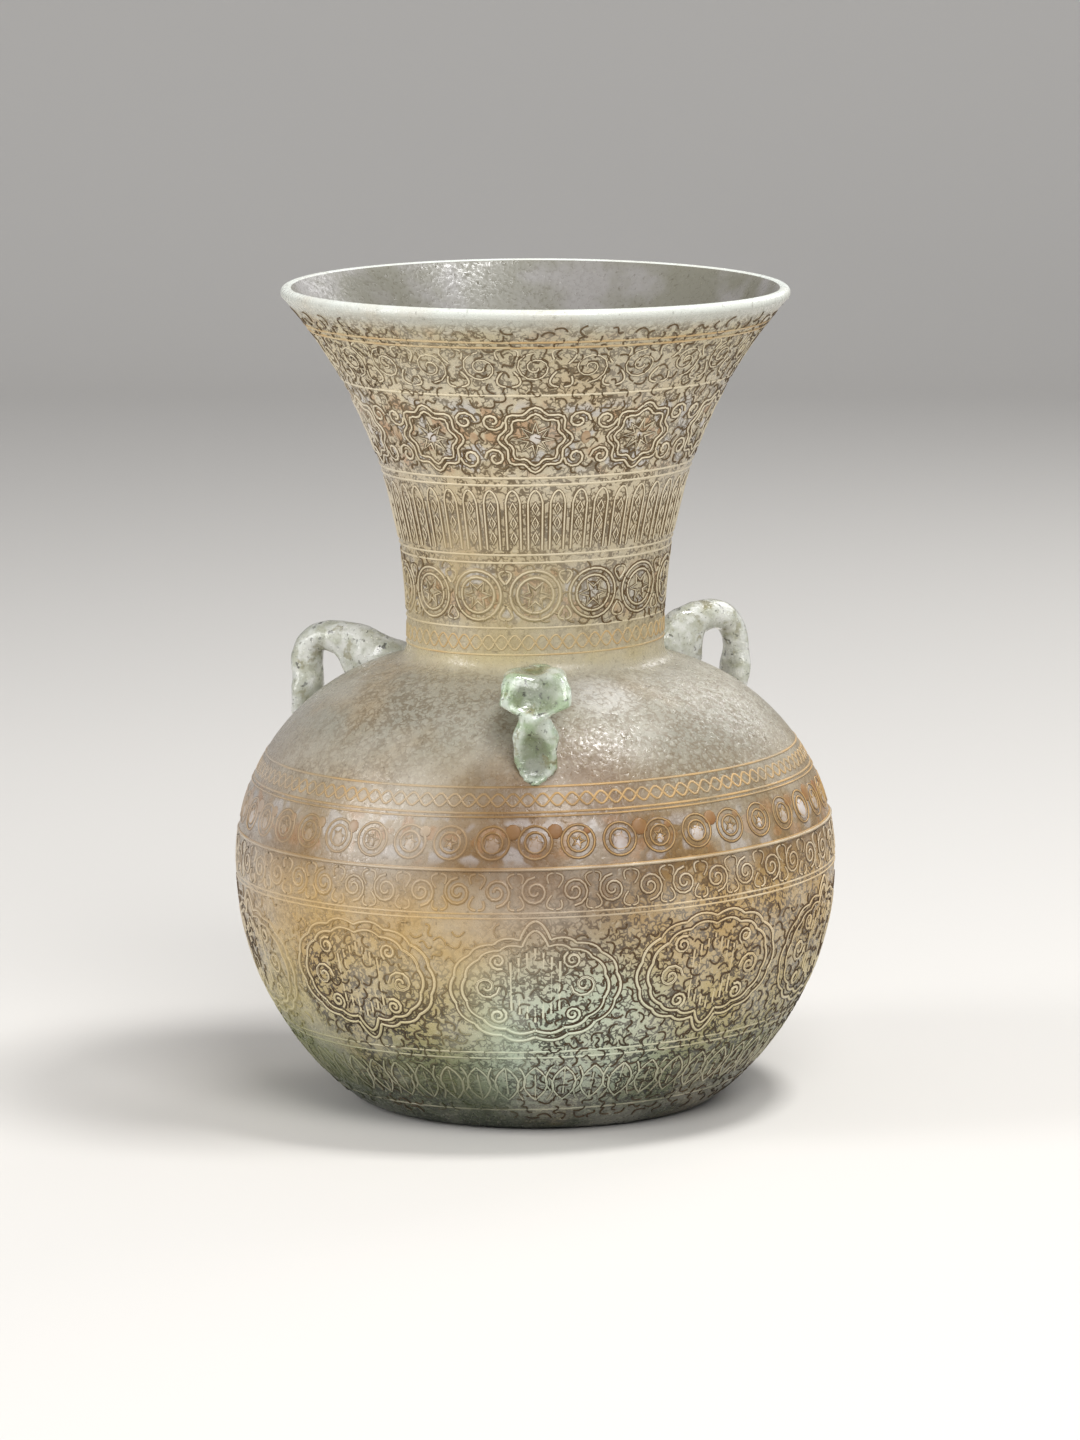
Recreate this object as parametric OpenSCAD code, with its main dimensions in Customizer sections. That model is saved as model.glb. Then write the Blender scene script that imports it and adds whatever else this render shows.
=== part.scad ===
// Mosque lamp of blown and gilded glass.
// A round bulb stands on its pushed-in base and opens through a trumpet neck, and three
// loops of applied glass on the shoulder take the chains that it hangs by. Inside the bulb
// stands a small oil cup with a wick on a three-armed holder, which lift out by the mouth.
// +Z is up, the lamp stands on Z = 0 with its axis on Z, and its front faces -Y.

/* [Vessel] */
// Height from the table to the top of the lip
height = 270; // [250:1:300]
// Widest outer diameter of the bulb
bulb_d = 198.8; // [190:0.2:210]
// Height of the widest part of the bulb
belly_z = 80; // [74:1:84]
// Radius of the arc that rounds the shoulder in to the neck
shoulder_r = 68.8; // [64:0.2:72]
// Outer diameter of the neck at its waist
neck_d = 85; // [80:1:92]
// Height of the neck's waist
waist_z = 158; // [155:1:168]
// Outer diameter of the lip
mouth_d = 168; // [150:1:180]
// Wall thickness of the bulb and the neck
wall = 3; // [2.4:0.1:3.6]
// Radius of the fire-rounded bead along the lip
lip_r = 2.4; // [2.2:0.1:3]
// Radius of the hollow where the shoulder turns up into the neck
root_r = 5; // [3:0.5:8]

/* [Base] */
// Thickness of the glass under the bulb
floor_t = 5; // [4:0.5:7]
// Radius that rounds the bulb into the flat it stands on
base_edge_r = 10; // [6:0.5:14]
// Diameter of the pushed-in kick under the base
kick_d = 40; // [30:1:44]
// Height of the kick
kick_h = 5; // [4:0.5:8]

/* [Front loop] */
// Direction of the front loop round the axis, counted from the front
front_dir = 0; // [-20:1:20]
// Way from the neck to where the front loop's rope lifts off the shoulder
front_hip = 20; // [18:0.5:22]
// Way from the neck to the front loop's crest
front_crest = 32; // [30:0.5:34]
// Way from the front loop's crest out to its foot
front_reach = 16; // [15:0.5:19]
// Height of the rope's middle over the shoulder at the front loop's crest
front_rise = 20; // [17:0.2:22]
// Glass that has run in under the front loop where it lifts off
front_fill = 4; // [2:0.5:5]
// Thickness of the front loop's outer leg
front_leg_t = 9; // [8:0.5:10]
// How far the front loop's outer leg leans out
front_lean = 6; // [4:0.5:8]
// Width of the front loop's pinched crest
front_crest_w = 23; // [14:0.5:26]

/* [Left loop] */
// Direction of the left loop round the axis, counted from the front
left_dir = -117; // [-135:1:-100]
// Way from the neck to where the left loop's rope lifts off the shoulder
left_hip = 20; // [18:0.5:22]
// Way from the neck to the left loop's crest
left_crest = 32.5; // [30:0.5:34]
// Way from the left loop's crest out to its foot
left_reach = 18.5; // [16:0.5:21]
// Height of the rope's middle over the shoulder at the left loop's crest
left_rise = 16.6; // [15:0.2:19]
// Glass that has run in under the left loop where it lifts off
left_fill = 5; // [2:0.5:6]
// Thickness of the left loop's outer leg
left_leg_t = 11.6; // [9:0.2:12.4]
// How far the left loop's outer leg leans out
left_lean = 9.5; // [7:0.5:11]
// Width of the left loop's crest
left_crest_w = 10; // [8:0.5:13]

/* [Right loop] */
// Direction of the right loop round the axis, counted from the front
right_dir = 125; // [100:1:140]
// Way from the neck to where the right loop's rope lifts off the shoulder
right_hip = 11; // [9:0.5:13]
// Way from the neck to the right loop's crest
right_crest = 26; // [24:0.5:28]
// Way from the right loop's crest out to its foot
right_reach = 16.5; // [15:0.5:19]
// Height of the rope's middle over the shoulder at the right loop's crest
right_rise = 18.8; // [17:0.2:21]
// Glass that has run in under the right loop where it lifts off
right_fill = 8; // [5:0.5:9]
// Thickness of the right loop's outer leg
right_leg_t = 8; // [7:0.2:9.6]
// How far the right loop's outer leg leans out
right_lean = 5.5; // [4:0.5:8]
// Width of the right loop's crest
right_crest_w = 10; // [8:0.5:13]

/* [Every loop] */
// Thickness of the rope of glass at the crest
rope_t = 9.4; // [8:0.2:10]
// Thickness of the rope where it lifts off the shoulder
hip_t = 13; // [11:0.5:14]
// Width of the rope where it meets the neck
root_w = 13; // [10:0.5:16]
// Length of the leaf-shaped tail beyond the foot
tail_len = 7; // [5:0.5:12]
// Width of the tail
tail_w = 14; // [10:0.5:16]
// How far the tail and a wide crest are pressed in along the middle, as a share
press = 0.5; // [0:0.05:0.6]

/* [Oil cup] */
// Height of the oil cup
cup_h = 80; // [60:1:90]
// Outer diameter of the cup's rim
cup_d = 66; // [56:1:68]
// Outer diameter of the cup just over its foot
cup_base_d = 46; // [40:1:52]
// Wall thickness of the cup
cup_wall = 2.2; // [1.8:0.1:3]
// Width of the ring foot's wall
foot_wall = 4; // [3:0.5:5]
// Gap between the hollow of the ring foot and the bump that the kick makes on the bulb's floor
kick_gap = 1.5; // [1:0.5:3]
// Gap under a piece that stands on another
seat_gap = 0.2; // [0.1:0.05:0.3]

/* [Wick holder] */
// Thickness of the holder's brass strip
strip_t = 1.2; // [0.8:0.1:1.6]
// Width of each arm
arm_w = 4; // [3:0.5:6]
// Number of arms
arm_count = 3; // [3:1:4]
// Direction of the first arm, counted from the left
arm_turn = 0; // [0:1:120]
// Outer diameter of the hub
hub_d = 11; // [9:0.5:14]
// Length of the hooks that hang over the cup's rim
hook_len = 6; // [4:0.5:9]
// Play between a hook and the cup's rim
hook_gap = 0.6; // [0.3:0.1:1]
// Outer diameter of the wick tube
tube_d = 5; // [4.4:0.1:6]
// Height of the wick tube's lower end over the floor of the cup
tube_clear = 28; // [20:1:36]
// Length of the wick tube above the hub
tube_rise = 9; // [5:1:14]
// Diameter of the collar that stops the tube in the hub
collar_d = 8; // [7:0.5:9]
// Height of that collar
collar_h = 1.5; // [1:0.5:3]

/* [Wick] */
// Diameter of the cotton wick
wick_d = 3; // [2:0.1:3.4]
// Play between the wick and the bore of its tube, on the radius
wick_gap = 0.1; // [0.05:0.05:0.2]
// Height of the wick's lower end over the floor of the cup
wick_clear = 12; // [8:1:16]
// Length of the wick above its tube
wick_rise = 4; // [2:0.5:8]

/* [Hidden] */
$fn = 180;

glass_tint = [0.80, 0.78, 0.68];
loop_tint = [0.72, 0.85, 0.74];
cup_tint = [0.86, 0.92, 0.90];
brass_tint = [0.70, 0.55, 0.26];
cotton_tint = [0.93, 0.90, 0.82];

// How far a cut runs past what it cuts, so that no face is left on it.
past = 1;
// How far the circles of two arcs that run into each other overlap, so that they cross cleanly.
bite = 0.005;

// Worked-out places are rounded to a thousandth, so that zones that meet share one edge.
function neat(v) = is_list(v) ? [for (x = v) neat(x)] : round(v * 1000) / 1000;

// The bulb is a ball below its belly. Above it the shoulder is an arc about a ring.
bulb_r = bulb_d / 2;
shoulder_x = bulb_r - shoulder_r;

// The neck's flare is one arc: upright at the waist, and through the middle of the lip's bead.
lip_z = height - lip_r;
lip_x = mouth_d / 2 - lip_r;
waist_mid = neck_d / 2 - wall / 2;
flare_dx = lip_x - waist_mid;
flare_dz = lip_z - waist_z;
flare_mid_r = neat((flare_dx * flare_dx + flare_dz * flare_dz) / (2 * flare_dx));
flare_x = waist_mid + flare_mid_r;

// The kick is a cap of a ball. Inside, the same glass stands up from the floor as a bump.
kick_r = neat((kick_d * kick_d / 4 + kick_h * kick_h) / (2 * kick_h));
kick_z = kick_h - kick_r;
bump_r = neat(sqrt(pow(kick_r + floor_t, 2) - pow(floor_t - kick_z, 2)));

// The cup's ring foot stands on the floor of the bulb, round the bump and clear of its top.
cup_z = floor_t + seat_gap;
foot_in_r = bump_r + kick_gap;
foot_r = foot_in_r + foot_wall;
foot_roof = floor_t + kick_h + kick_gap;
cup_base_z = foot_roof + cup_wall;
cup_floor = cup_base_z + cup_wall;

// The holder lies on the cup's rim, and its tube and wick hang down to near the cup's floor.
rim_r = cup_wall / 2;
rim_x = cup_d / 2 - rim_r;
rim_z = cup_z + cup_h - rim_r;
strip_z = cup_z + cup_h + seat_gap;
tube_top = strip_z + strip_t + tube_rise;
tube_bottom = cup_floor + tube_clear;
tube_bore = wick_d + 2 * wick_gap;
wick_bottom = cup_floor + wick_clear;

// Where the circle round a, of radius ra, meets the circle round b, of radius rb,
// on the left of the way from a to b.
function meet(a, ra, b, rb) =
    let (
        d = norm(b - a),
        e = (b - a) / d,
        along = (ra * ra - rb * rb + d * d) / (2 * d),
        off = sqrt(ra * ra - along * along)
    )
    a + along * e + off * [-e[1], e[0]];

// The half section of the ball below the belly: radius r, standing on a floor at z0.
module ball_zone(r, z0) {
    edge_z = z0 + base_edge_r;
    edge_x = neat(sqrt(pow(r - base_edge_r + bite, 2) - pow(belly_z - edge_z, 2)));
    turn_z = neat(belly_z - (belly_z - edge_z) * r / (r - base_edge_r));
    intersection() {
        translate([0, belly_z]) circle(r);
        union() {
            translate([0, turn_z]) square([r + past, belly_z - turn_z]);
            translate([0, z0]) square([edge_x, belly_z - z0]);
            translate([edge_x, edge_z]) circle(base_edge_r);
        }
    }
}

// The half section of everything inside the skin that lies at the given depth under the
// lamp's outer face, from a floor at z0 up to top_z.
module skin(depth, z0, top_z) {
    shoulder = [shoulder_x, belly_z];
    flare = [flare_x, waist_z];
    arc_r = shoulder_r - depth;
    hollow_r = root_r + depth;
    flare_r = flare_mid_r - wall / 2 + depth;
    hollow = neat(meet(shoulder, arc_r + hollow_r - bite, flare, flare_r - hollow_r + bite));
    on_flare = neat(flare + (hollow - flare) * flare_r / (flare_r - hollow_r));

    ball_zone(bulb_r - depth, z0);
    intersection() {
        union() {
            translate(shoulder) circle(arc_r);
            translate([0, belly_z]) square([shoulder_x, arc_r]);
        }
        translate([0, belly_z]) square([bulb_r + past, arc_r + past]);
    }
    difference() {
        polygon([[0, belly_z], shoulder, hollow, on_flare, [0, waist_z]]);
        translate(hollow) circle(hollow_r);
    }
    difference() {
        translate([0, on_flare[1] - past]) square([mouth_d / 2 + past, top_z - on_flare[1] + past]);
        translate(flare) circle(flare_r);
    }
}

// The solid body that the lamp's outer face encloses, which seats the loops.
module body() {
    rotate_extrude() skin(0, 0, lip_z);
}

// The right half of a circle, for a ball centred on the axis.
module half_circle(r) {
    intersection() {
        circle(r);
        translate([0, -r]) square([r, 2 * r]);
    }
}

// Bulb and neck, blown as one piece.
module vessel() {
    color(glass_tint) rotate_extrude() {
        difference() {
            skin(0, 0, lip_z);
            difference() {
                skin(wall, floor_t, lip_z + past);
                translate([0, kick_z]) half_circle(kick_r + floor_t);
            }
            translate([0, kick_z]) half_circle(kick_r);
        }
        translate([lip_x, lip_z]) circle(lip_r);
    }
}

// A point over the shoulder: s is the way out from the neck along it, h the height over it.
// x is the distance from the axis there.
function over_shoulder(s, h) =
    let (turn = acos((neck_d / 2 - shoulder_x) / shoulder_r) - s / shoulder_r * 180 / PI)
    [shoulder_x + (shoulder_r + h) * cos(turn), belly_z + (shoulder_r + h) * sin(turn)];

// A point on the cubic curve with the four control points p.
function curve(p, t) =
    pow(1 - t, 3) * p[0] + 3 * t * pow(1 - t, 2) * p[1]
    + 3 * t * t * (1 - t) * p[2] + pow(t, 3) * p[3];

// A loop's route as [s, h]: low along the shoulder from the neck, up over the crest, down to
// the outer foot and out along the tail. Its three stretches take the numbers from 0 to 3.
root_sink = 4;
hip_sink = 3;
crest_swell = 1;
foot_lift = 2.5;
leg_pull = 15.5;
tip_sink = 1;
function route(hip_s, crest_s, reach, rise, lean, t) =
    let (
        crest = [crest_s, rise],
        foot = [crest_s + reach, foot_lift],
        tip = foot + [tail_len, -foot_lift - tip_sink],
        up = [[0, -root_sink], [hip_s, -hip_sink], [hip_s + hip_sink, rise - root_sink], crest],
        down = [crest, crest + [reach / 3, crest_swell], foot + [-lean, leg_pull - lean], foot],
        out = [foot, foot + [foot_lift, -foot_lift], tip - [tail_len / 2, -tip_sink], tip]
    )
    curve(t < 1 ? up : t < 2 ? down : out, t < 2 ? t - floor(t) : t - 2);

// Width of the rope along its route, with the crest as wide as given.
function width_at(t, crest_w) =
    lookup(t, [
        [0, root_w], [0.9, (root_w + 2 * crest_w) / 3], [1.2, crest_w], [1.4, crest_w],
        [1.5, tail_w * 0.85], [1.8, tail_w], [2.2, tail_w], [2.5, tail_w * 0.85], [2.8, tail_w * 0.5],
        [3, tail_w * 0.2]
    ]);

// Thickness of the rope along its route.
function thickness_at(t, leg_t) =
    lookup(t, [
        [0, rope_t], [0.4, hip_t], [0.55, hip_t], [1, rope_t], [1.4, leg_t], [1.7, leg_t],
        [2, leg_t * 0.8], [2.4, rope_t * 0.6], [3, rope_t * 0.35]
    ]);

// How much thicker the rope is on its underside, where glass has run in under it.
function fill_at(t, fill) = lookup(t, [[0.2, 0], [0.4, fill], [0.6, fill], [0.75, 0]]);

// How far the outer face is pressed in: on the tail, and on a crest that is wider than the tail.
function press_at(t, crest_w) =
    let (pinch = press * max(0, min(1, 2 * (crest_w - tail_w) / tail_w)))
    lookup(t, [
        [0.5, 0], [1, pinch], [1.4, pinch], [1.5, press * 0.4], [2, press], [2.6, press], [3, 0]
    ]);

// One loop of applied glass, seated on the shoulder. A rope runs along the route, with a
// ring of points every so often, and the lamp's own outer face cuts its underside.
rope_rings = 30;
rope_sides = 14;
module loop(dir, hip_s, crest_s, reach, rise, fill, leg_t, lean, crest_w) {
    route_points = [
        for (i = [0:rope_rings])
            let (r = route(hip_s, crest_s, reach, rise, lean, 3 * i / rope_rings))
            over_shoulder(r[0], r[1])
    ];
    points = [
        for (i = [0:rope_rings])
            let (
                t = 3 * i / rope_rings,
                way = route_points[min(i + 1, rope_rings)] - route_points[max(i - 1, 0)],
                out = [-way[1], way[0]] / norm(way),
                half_w = width_at(t, crest_w) / 2,
                half_t = thickness_at(t, leg_t) / 2,
                under = half_t + fill_at(t, fill)
            )
            for (k = [0:rope_sides - 1])
                let (
                    a = 360 * k / rope_sides,
                    pressed = 1 - press_at(t, crest_w) * pow(sin(a), 2),
                    lift = sin(a) * (sin(a) < 0 ? under : half_t * pressed),
                    p = route_points[i] + lift * out
                )
                [half_w * cos(a), -p[0], p[1]]
    ];
    sides = [
        for (i = [0:rope_rings - 1])
            for (k = [0:rope_sides - 1])
                let (
                    a = i * rope_sides + k,
                    b = i * rope_sides + (k + 1) % rope_sides
                )
                each [[a, b + rope_sides, b], [a, a + rope_sides, b + rope_sides]]
    ];
    last = rope_rings * rope_sides;
    ends = [for (k = [1:rope_sides - 2]) each [[0, k, k + 1], [last, last + k + 1, last + k]]];
    color(loop_tint) difference() {
        rotate([0, 0, dir]) polyhedron(points, concat(sides, ends));
        body();
    }
}

module handle_front() {
    loop(
        front_dir, front_hip, front_crest, front_reach, front_rise,
        front_fill, front_leg_t, front_lean, front_crest_w
    );
}

module handle_left() {
    loop(
        left_dir, left_hip, left_crest, left_reach, left_rise,
        left_fill, left_leg_t, left_lean, left_crest_w
    );
}

module handle_right() {
    loop(
        right_dir, right_hip, right_crest, right_reach, right_rise,
        right_fill, right_leg_t, right_lean, right_crest_w
    );
}

// The oil cup: a small beaker with a rounded rim on a ring foot.
module oil_cup() {
    base_r = cup_base_d / 2;
    color(cup_tint) rotate_extrude() {
        polygon([
            [0, foot_roof], [foot_in_r, foot_roof], [foot_in_r, cup_z], [foot_r, cup_z],
            [foot_r, (cup_z + cup_base_z) / 2], [base_r, cup_base_z],
            [rim_x + rim_r, rim_z], [rim_x - rim_r, rim_z],
            [base_r - cup_wall, cup_floor], [0, cup_floor]
        ]);
        translate([rim_x, rim_z]) circle(rim_r);
    }
}

// The wick holder: a hub on arms of brass strip, which hook over the cup's rim.
module wick_spider() {
    hook_x = cup_d / 2 + hook_gap;
    arm_len = hook_x + strip_t;
    color(brass_tint) difference() {
        union() {
            translate([0, 0, strip_z]) cylinder(h = strip_t, d = hub_d);
            for (i = [0:arm_count - 1]) {
                rotate([0, 0, 180 + arm_turn + 360 * i / arm_count]) {
                    translate([0, -arm_w / 2, strip_z]) cube([arm_len, arm_w, strip_t]);
                    translate([hook_x, -arm_w / 2, strip_z - hook_len])
                        cube([strip_t, arm_w, hook_len + strip_t]);
                }
            }
        }
        translate([0, 0, strip_z - past]) cylinder(h = strip_t + 2 * past, d = tube_d);
    }
}

// The tube that guides the wick, with the collar that it hangs by in the hub.
module wick_tube() {
    color(brass_tint) difference() {
        union() {
            translate([0, 0, tube_bottom]) cylinder(h = tube_top - tube_bottom, d = tube_d);
            translate([0, 0, strip_z + strip_t]) cylinder(h = collar_h, d = collar_d);
        }
        translate([0, 0, tube_bottom - past])
            cylinder(h = tube_top - tube_bottom + 2 * past, d = tube_bore);
    }
}

// The twisted cotton wick.
module wick() {
    color(cotton_tint) translate([0, 0, wick_bottom])
        cylinder(h = tube_top + wick_rise - wick_bottom, d = wick_d);
}

vessel();
handle_front();
handle_left();
handle_right();
oil_cup();
wick_spider();
wick_tube();
wick();
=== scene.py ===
# %% [markdown]
# # A mosque lamp of weathered, gilded glass
# The real lamp is one blown bubble of glass: a round bulb that opens through a trumpet neck. Three loops
# of green glass were pressed on its shoulder for chains, and its outside was painted with fine brown
# lines and gold, which wear and burial have thinned. This lesson dresses the solid parts of the frame
# with that glass, that painting, and the oil cup and wick that make it a lamp.

# %% Load the frame
import functools
import math

import bpy
import numpy as np
from mathutils import Matrix, Vector, noise


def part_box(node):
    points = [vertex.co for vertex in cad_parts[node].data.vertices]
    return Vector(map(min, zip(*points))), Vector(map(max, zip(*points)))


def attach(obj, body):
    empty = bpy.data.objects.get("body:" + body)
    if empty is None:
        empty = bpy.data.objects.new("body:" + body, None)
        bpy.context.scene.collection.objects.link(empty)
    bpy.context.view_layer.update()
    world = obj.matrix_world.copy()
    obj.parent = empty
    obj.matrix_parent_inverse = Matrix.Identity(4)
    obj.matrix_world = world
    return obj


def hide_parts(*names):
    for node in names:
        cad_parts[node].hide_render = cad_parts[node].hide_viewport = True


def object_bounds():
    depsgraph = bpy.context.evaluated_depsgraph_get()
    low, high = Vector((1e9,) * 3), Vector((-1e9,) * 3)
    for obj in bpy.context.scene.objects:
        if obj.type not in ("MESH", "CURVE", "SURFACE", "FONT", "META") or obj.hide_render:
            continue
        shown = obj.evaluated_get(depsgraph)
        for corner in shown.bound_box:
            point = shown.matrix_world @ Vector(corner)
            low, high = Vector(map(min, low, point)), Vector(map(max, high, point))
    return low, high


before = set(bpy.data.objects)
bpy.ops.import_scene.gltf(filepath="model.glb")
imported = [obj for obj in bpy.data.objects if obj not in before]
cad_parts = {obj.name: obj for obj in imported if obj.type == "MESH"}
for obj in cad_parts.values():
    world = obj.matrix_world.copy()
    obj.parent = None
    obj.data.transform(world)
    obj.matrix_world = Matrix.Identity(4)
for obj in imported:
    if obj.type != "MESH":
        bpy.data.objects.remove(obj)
cad_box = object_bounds()
MM = 0.001
print("the box of the solids in mm", [round(v / MM, 1) for corner in cad_box for v in corner])

# %% [markdown]
# ## The camera
# The picture was taken from about two metres away and a little above the lip, so that the mouth shows as
# a narrow ellipse. The lens is found from the height of the lamp in the frame. Doing this first means
# that every later choice is seen from the same place as the real lamp.

# %% Camera
camera_place = Vector((0.0015, -2.10, 0.4574))
camera_aim = Vector((0.0015, 0.0, 0.1257))
camera_lens_mm = 160.2
camera = bpy.data.objects.new("camera", bpy.data.cameras.new("camera"))
camera.data.lens = camera_lens_mm
camera.data.sensor_width = 36
camera.location = camera_place
camera.rotation_euler = (camera_aim - camera_place).to_track_quat("-Z", "Y").to_euler()
bpy.context.scene.collection.objects.link(camera)
bpy.context.scene.camera = camera
print("camera", round((camera_aim - camera_place).length, 3), "m from the lamp")

# %% [markdown]
# ## Helpers for node trees
# Shaders and Geometry Nodes are both trees of nodes, so one helper adds a node, sets its options and
# plugs its inputs. A value that is a socket is linked, and any other value is set. The others are short
# names for the nodes that come back most: sums, products, blends, noise, and the parts of a place.

# %% Node helpers
def add(tree, kind, inputs=None, **options):
    """Adds a node with its settings. Inputs map a socket's name or number to a value or a socket."""
    node = tree.nodes.new(kind)
    for key, value in options.items():
        setattr(node, key, value)
    for key, value in (inputs or {}).items():
        if isinstance(value, bpy.types.NodeSocket):
            tree.links.new(value, node.inputs[key])
        else:
            node.inputs[key].default_value = value
    return node


def maths(tree, operation, a, b=0.0):
    return add(tree, "ShaderNodeMath", {0: a, 1: b}, operation=operation).outputs[0]


def times(tree, *values):
    """The product of all values."""
    return functools.reduce(lambda a, b: maths(tree, "MULTIPLY", a, b), values)


def plus(tree, *values):
    """The sum of all values."""
    return functools.reduce(lambda a, b: maths(tree, "ADD", a, b), values)


def vector_maths(tree, operation, inputs):
    return add(tree, "ShaderNodeVectorMath", inputs, operation=operation).outputs


def blend_colours(tree, share, a, b):
    """A mix of two colours, b by the given share."""
    return add(tree, "ShaderNodeMix", {0: share, 6: a, 7: b}, data_type="RGBA").outputs[2]


def span(tree, value, low, high, to_low=0.0, to_high=1.0):
    """Maps a value smoothly from one range to another."""
    inputs = {"Value": value, "From Min": low, "From Max": high, "To Min": to_low, "To Max": to_high}
    return add(tree, "ShaderNodeMapRange", inputs, interpolation_type="SMOOTHSTEP").outputs[0]


def cloud(tree, place, scale, detail=2.0, rough=0.5):
    """Smooth noise at a place. Its first output is a value, and its second is a colour."""
    inputs = {"Vector": place, "Scale": scale, "Detail": detail, "Roughness": rough}
    return add(tree, "ShaderNodeTexNoise", inputs).outputs


def split(tree, place):
    """The x, y and z of a place."""
    return add(tree, "ShaderNodeSeparateXYZ", {0: place}).outputs


def join(tree, x=0.0, y=0.0, z=0.0):
    """A place from its x, y and z."""
    return add(tree, "ShaderNodeCombineXYZ", {0: x, 1: y, 2: z}).outputs[0]


print("node helpers ready")


# %% Shader helpers
def srgb(r, g, b):
    """A colour given as it looks on a screen, from 0 to 255, as the linear colour that shaders use."""
    return tuple(pow((v / 255 + 0.055) / 1.055, 2.4) for v in (r, g, b)) + (1.0,)


def new_group(name, inputs, outputs):
    """An empty shader group with named sockets."""
    tree = bpy.data.node_groups.new(name, "ShaderNodeTree")
    for label, kind, value in inputs:
        item = tree.interface.new_socket(label, in_out="INPUT", socket_type="NodeSocket" + kind)
        item.default_value = value
    for label, kind in outputs:
        tree.interface.new_socket(label, in_out="OUTPUT", socket_type="NodeSocket" + kind)
    return tree, tree.nodes.new("NodeGroupInput").outputs, tree.nodes.new("NodeGroupOutput").inputs


def use_group(tree, group, inputs=None):
    """The outputs of a shared group, placed in a tree."""
    return add(tree, "ShaderNodeGroup", inputs, node_tree=group).outputs


def object_place(tree):
    return add(tree, "ShaderNodeTexCoord").outputs["Object"]


def speckle(tree, scale, detail=3.0, rough=0.55):
    """A value that varies smoothly over the object."""
    return cloud(tree, object_place(tree), scale, detail, rough)[0]


print("shader helpers ready")

# %% [markdown]
# ## Wear, weathering and the maze
# Three effects come back on the surfaces. The first is wear: the painting is crisp on the right half
# and nearly gone on the left of the middle, so one mask decides where it has been rubbed off. The second
# is weathering: a pale film in patches, dark pits and a fine unevenness. The third is the maze of brown
# lines that fills the painted ground. They are groups, so that glass and painting wear in the same places.

# %% Shared effects
wear_scale = 16.0
wear_side = 1.3


def make_wear():
    """Where the painting has worn thin, 0 to 1: patchy, and more on the side towards -X."""
    tree, inlet, outlet = new_group(
        "wear",
        [("Scale", "Float", wear_scale), ("Side", "Float", wear_side), ("Centre", "Float", 0.5)],
        [("Mask", "Float")],
    )
    place = object_place(tree)
    side = times(tree, split(tree, place)[0], inlet["Side"])
    kept = plus(tree, cloud(tree, place, inlet["Scale"])[0], side)
    low = maths(tree, "SUBTRACT", inlet["Centre"], 0.11)
    high = plus(tree, inlet["Centre"], 0.09)
    tree.links.new(span(tree, kept, low, high, 1.0, 0.0), outlet["Mask"])
    return tree


def make_weathering():
    """A pale film in patches and dark pits over a colour, with roughness and height to match."""
    tree, inlet, outlet = new_group(
        "weathering",
        [
            ("Colour", "Color", (1, 1, 1, 1)), ("Film", "Color", (1, 1, 1, 1)),
            ("Pits", "Color", (0, 0, 0, 1)), ("Film amount", "Float", 0.5),
            ("Pit amount", "Float", 0.5), ("Scale", "Float", 40.0),
        ],
        [("Colour", "Color"), ("Roughness", "Float"), ("Height", "Float")],
    )
    place = object_place(tree)
    patches = cloud(tree, place, inlet["Scale"], 5.0)[0]
    fine = cloud(tree, place, times(tree, inlet["Scale"], 14.0), 4.0)[0]
    pits = cloud(tree, place, times(tree, inlet["Scale"], 9.0), 6.0, 0.7)[0]
    film = times(tree, span(tree, patches, 0.42, 0.68), inlet["Film amount"])
    pit = times(tree, span(tree, pits, 0.58, 0.70), inlet["Pit amount"])
    filmed = blend_colours(tree, film, inlet["Colour"], inlet["Film"])
    tree.links.new(blend_colours(tree, pit, filmed, inlet["Pits"]), outlet["Colour"])
    tree.links.new(span(tree, fine, 0.3, 0.7, 0.22, 0.55), outlet["Roughness"])
    tree.links.new(maths(tree, "SUBTRACT", fine, pit), outlet["Height"])
    return tree


def make_maze():
    """Fine winding lines that fill every gap: the seams of small cells, bent and broken by noise."""
    tree, inlet, outlet = new_group(
        "maze",
        [("Scale", "Float", 420.0), ("Width", "Float", 0.16), ("Sway", "Float", 4.5 * MM)],
        [("Lines", "Float"), ("Strokes", "Float")],
    )
    place = object_place(tree)
    sway = cloud(tree, place, inlet["Scale"], 1.0)[1]
    centred = vector_maths(tree, "SUBTRACT", {0: sway, 1: (0.5, 0.5, 0.5)})[0]
    shift = vector_maths(tree, "SCALE", {0: centred, "Scale": inlet["Sway"]})[0]
    bent = vector_maths(tree, "ADD", {0: place, 1: shift})[0]
    cells = {"Vector": bent, "Scale": inlet["Scale"]}
    seam = add(tree, "ShaderNodeTexVoronoi", cells, feature="DISTANCE_TO_EDGE").outputs["Distance"]
    gaps = cloud(tree, place, times(tree, inlet["Scale"], 0.75), 1.0)[0]
    thin = times(tree, inlet["Width"], 0.45)
    wide = times(tree, inlet["Width"], 3.0)
    line = span(tree, seam, thin, inlet["Width"], 1.0, 0.0)
    tree.links.new(times(tree, line, span(tree, gaps, 0.41, 0.47)), outlet["Lines"])
    tree.links.new(span(tree, seam, inlet["Width"], wide), outlet["Strokes"])
    return tree


wear = make_wear()
weathering = make_weathering()
maze = make_maze()
print("groups", [group.name for group in bpy.data.node_groups])
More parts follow.
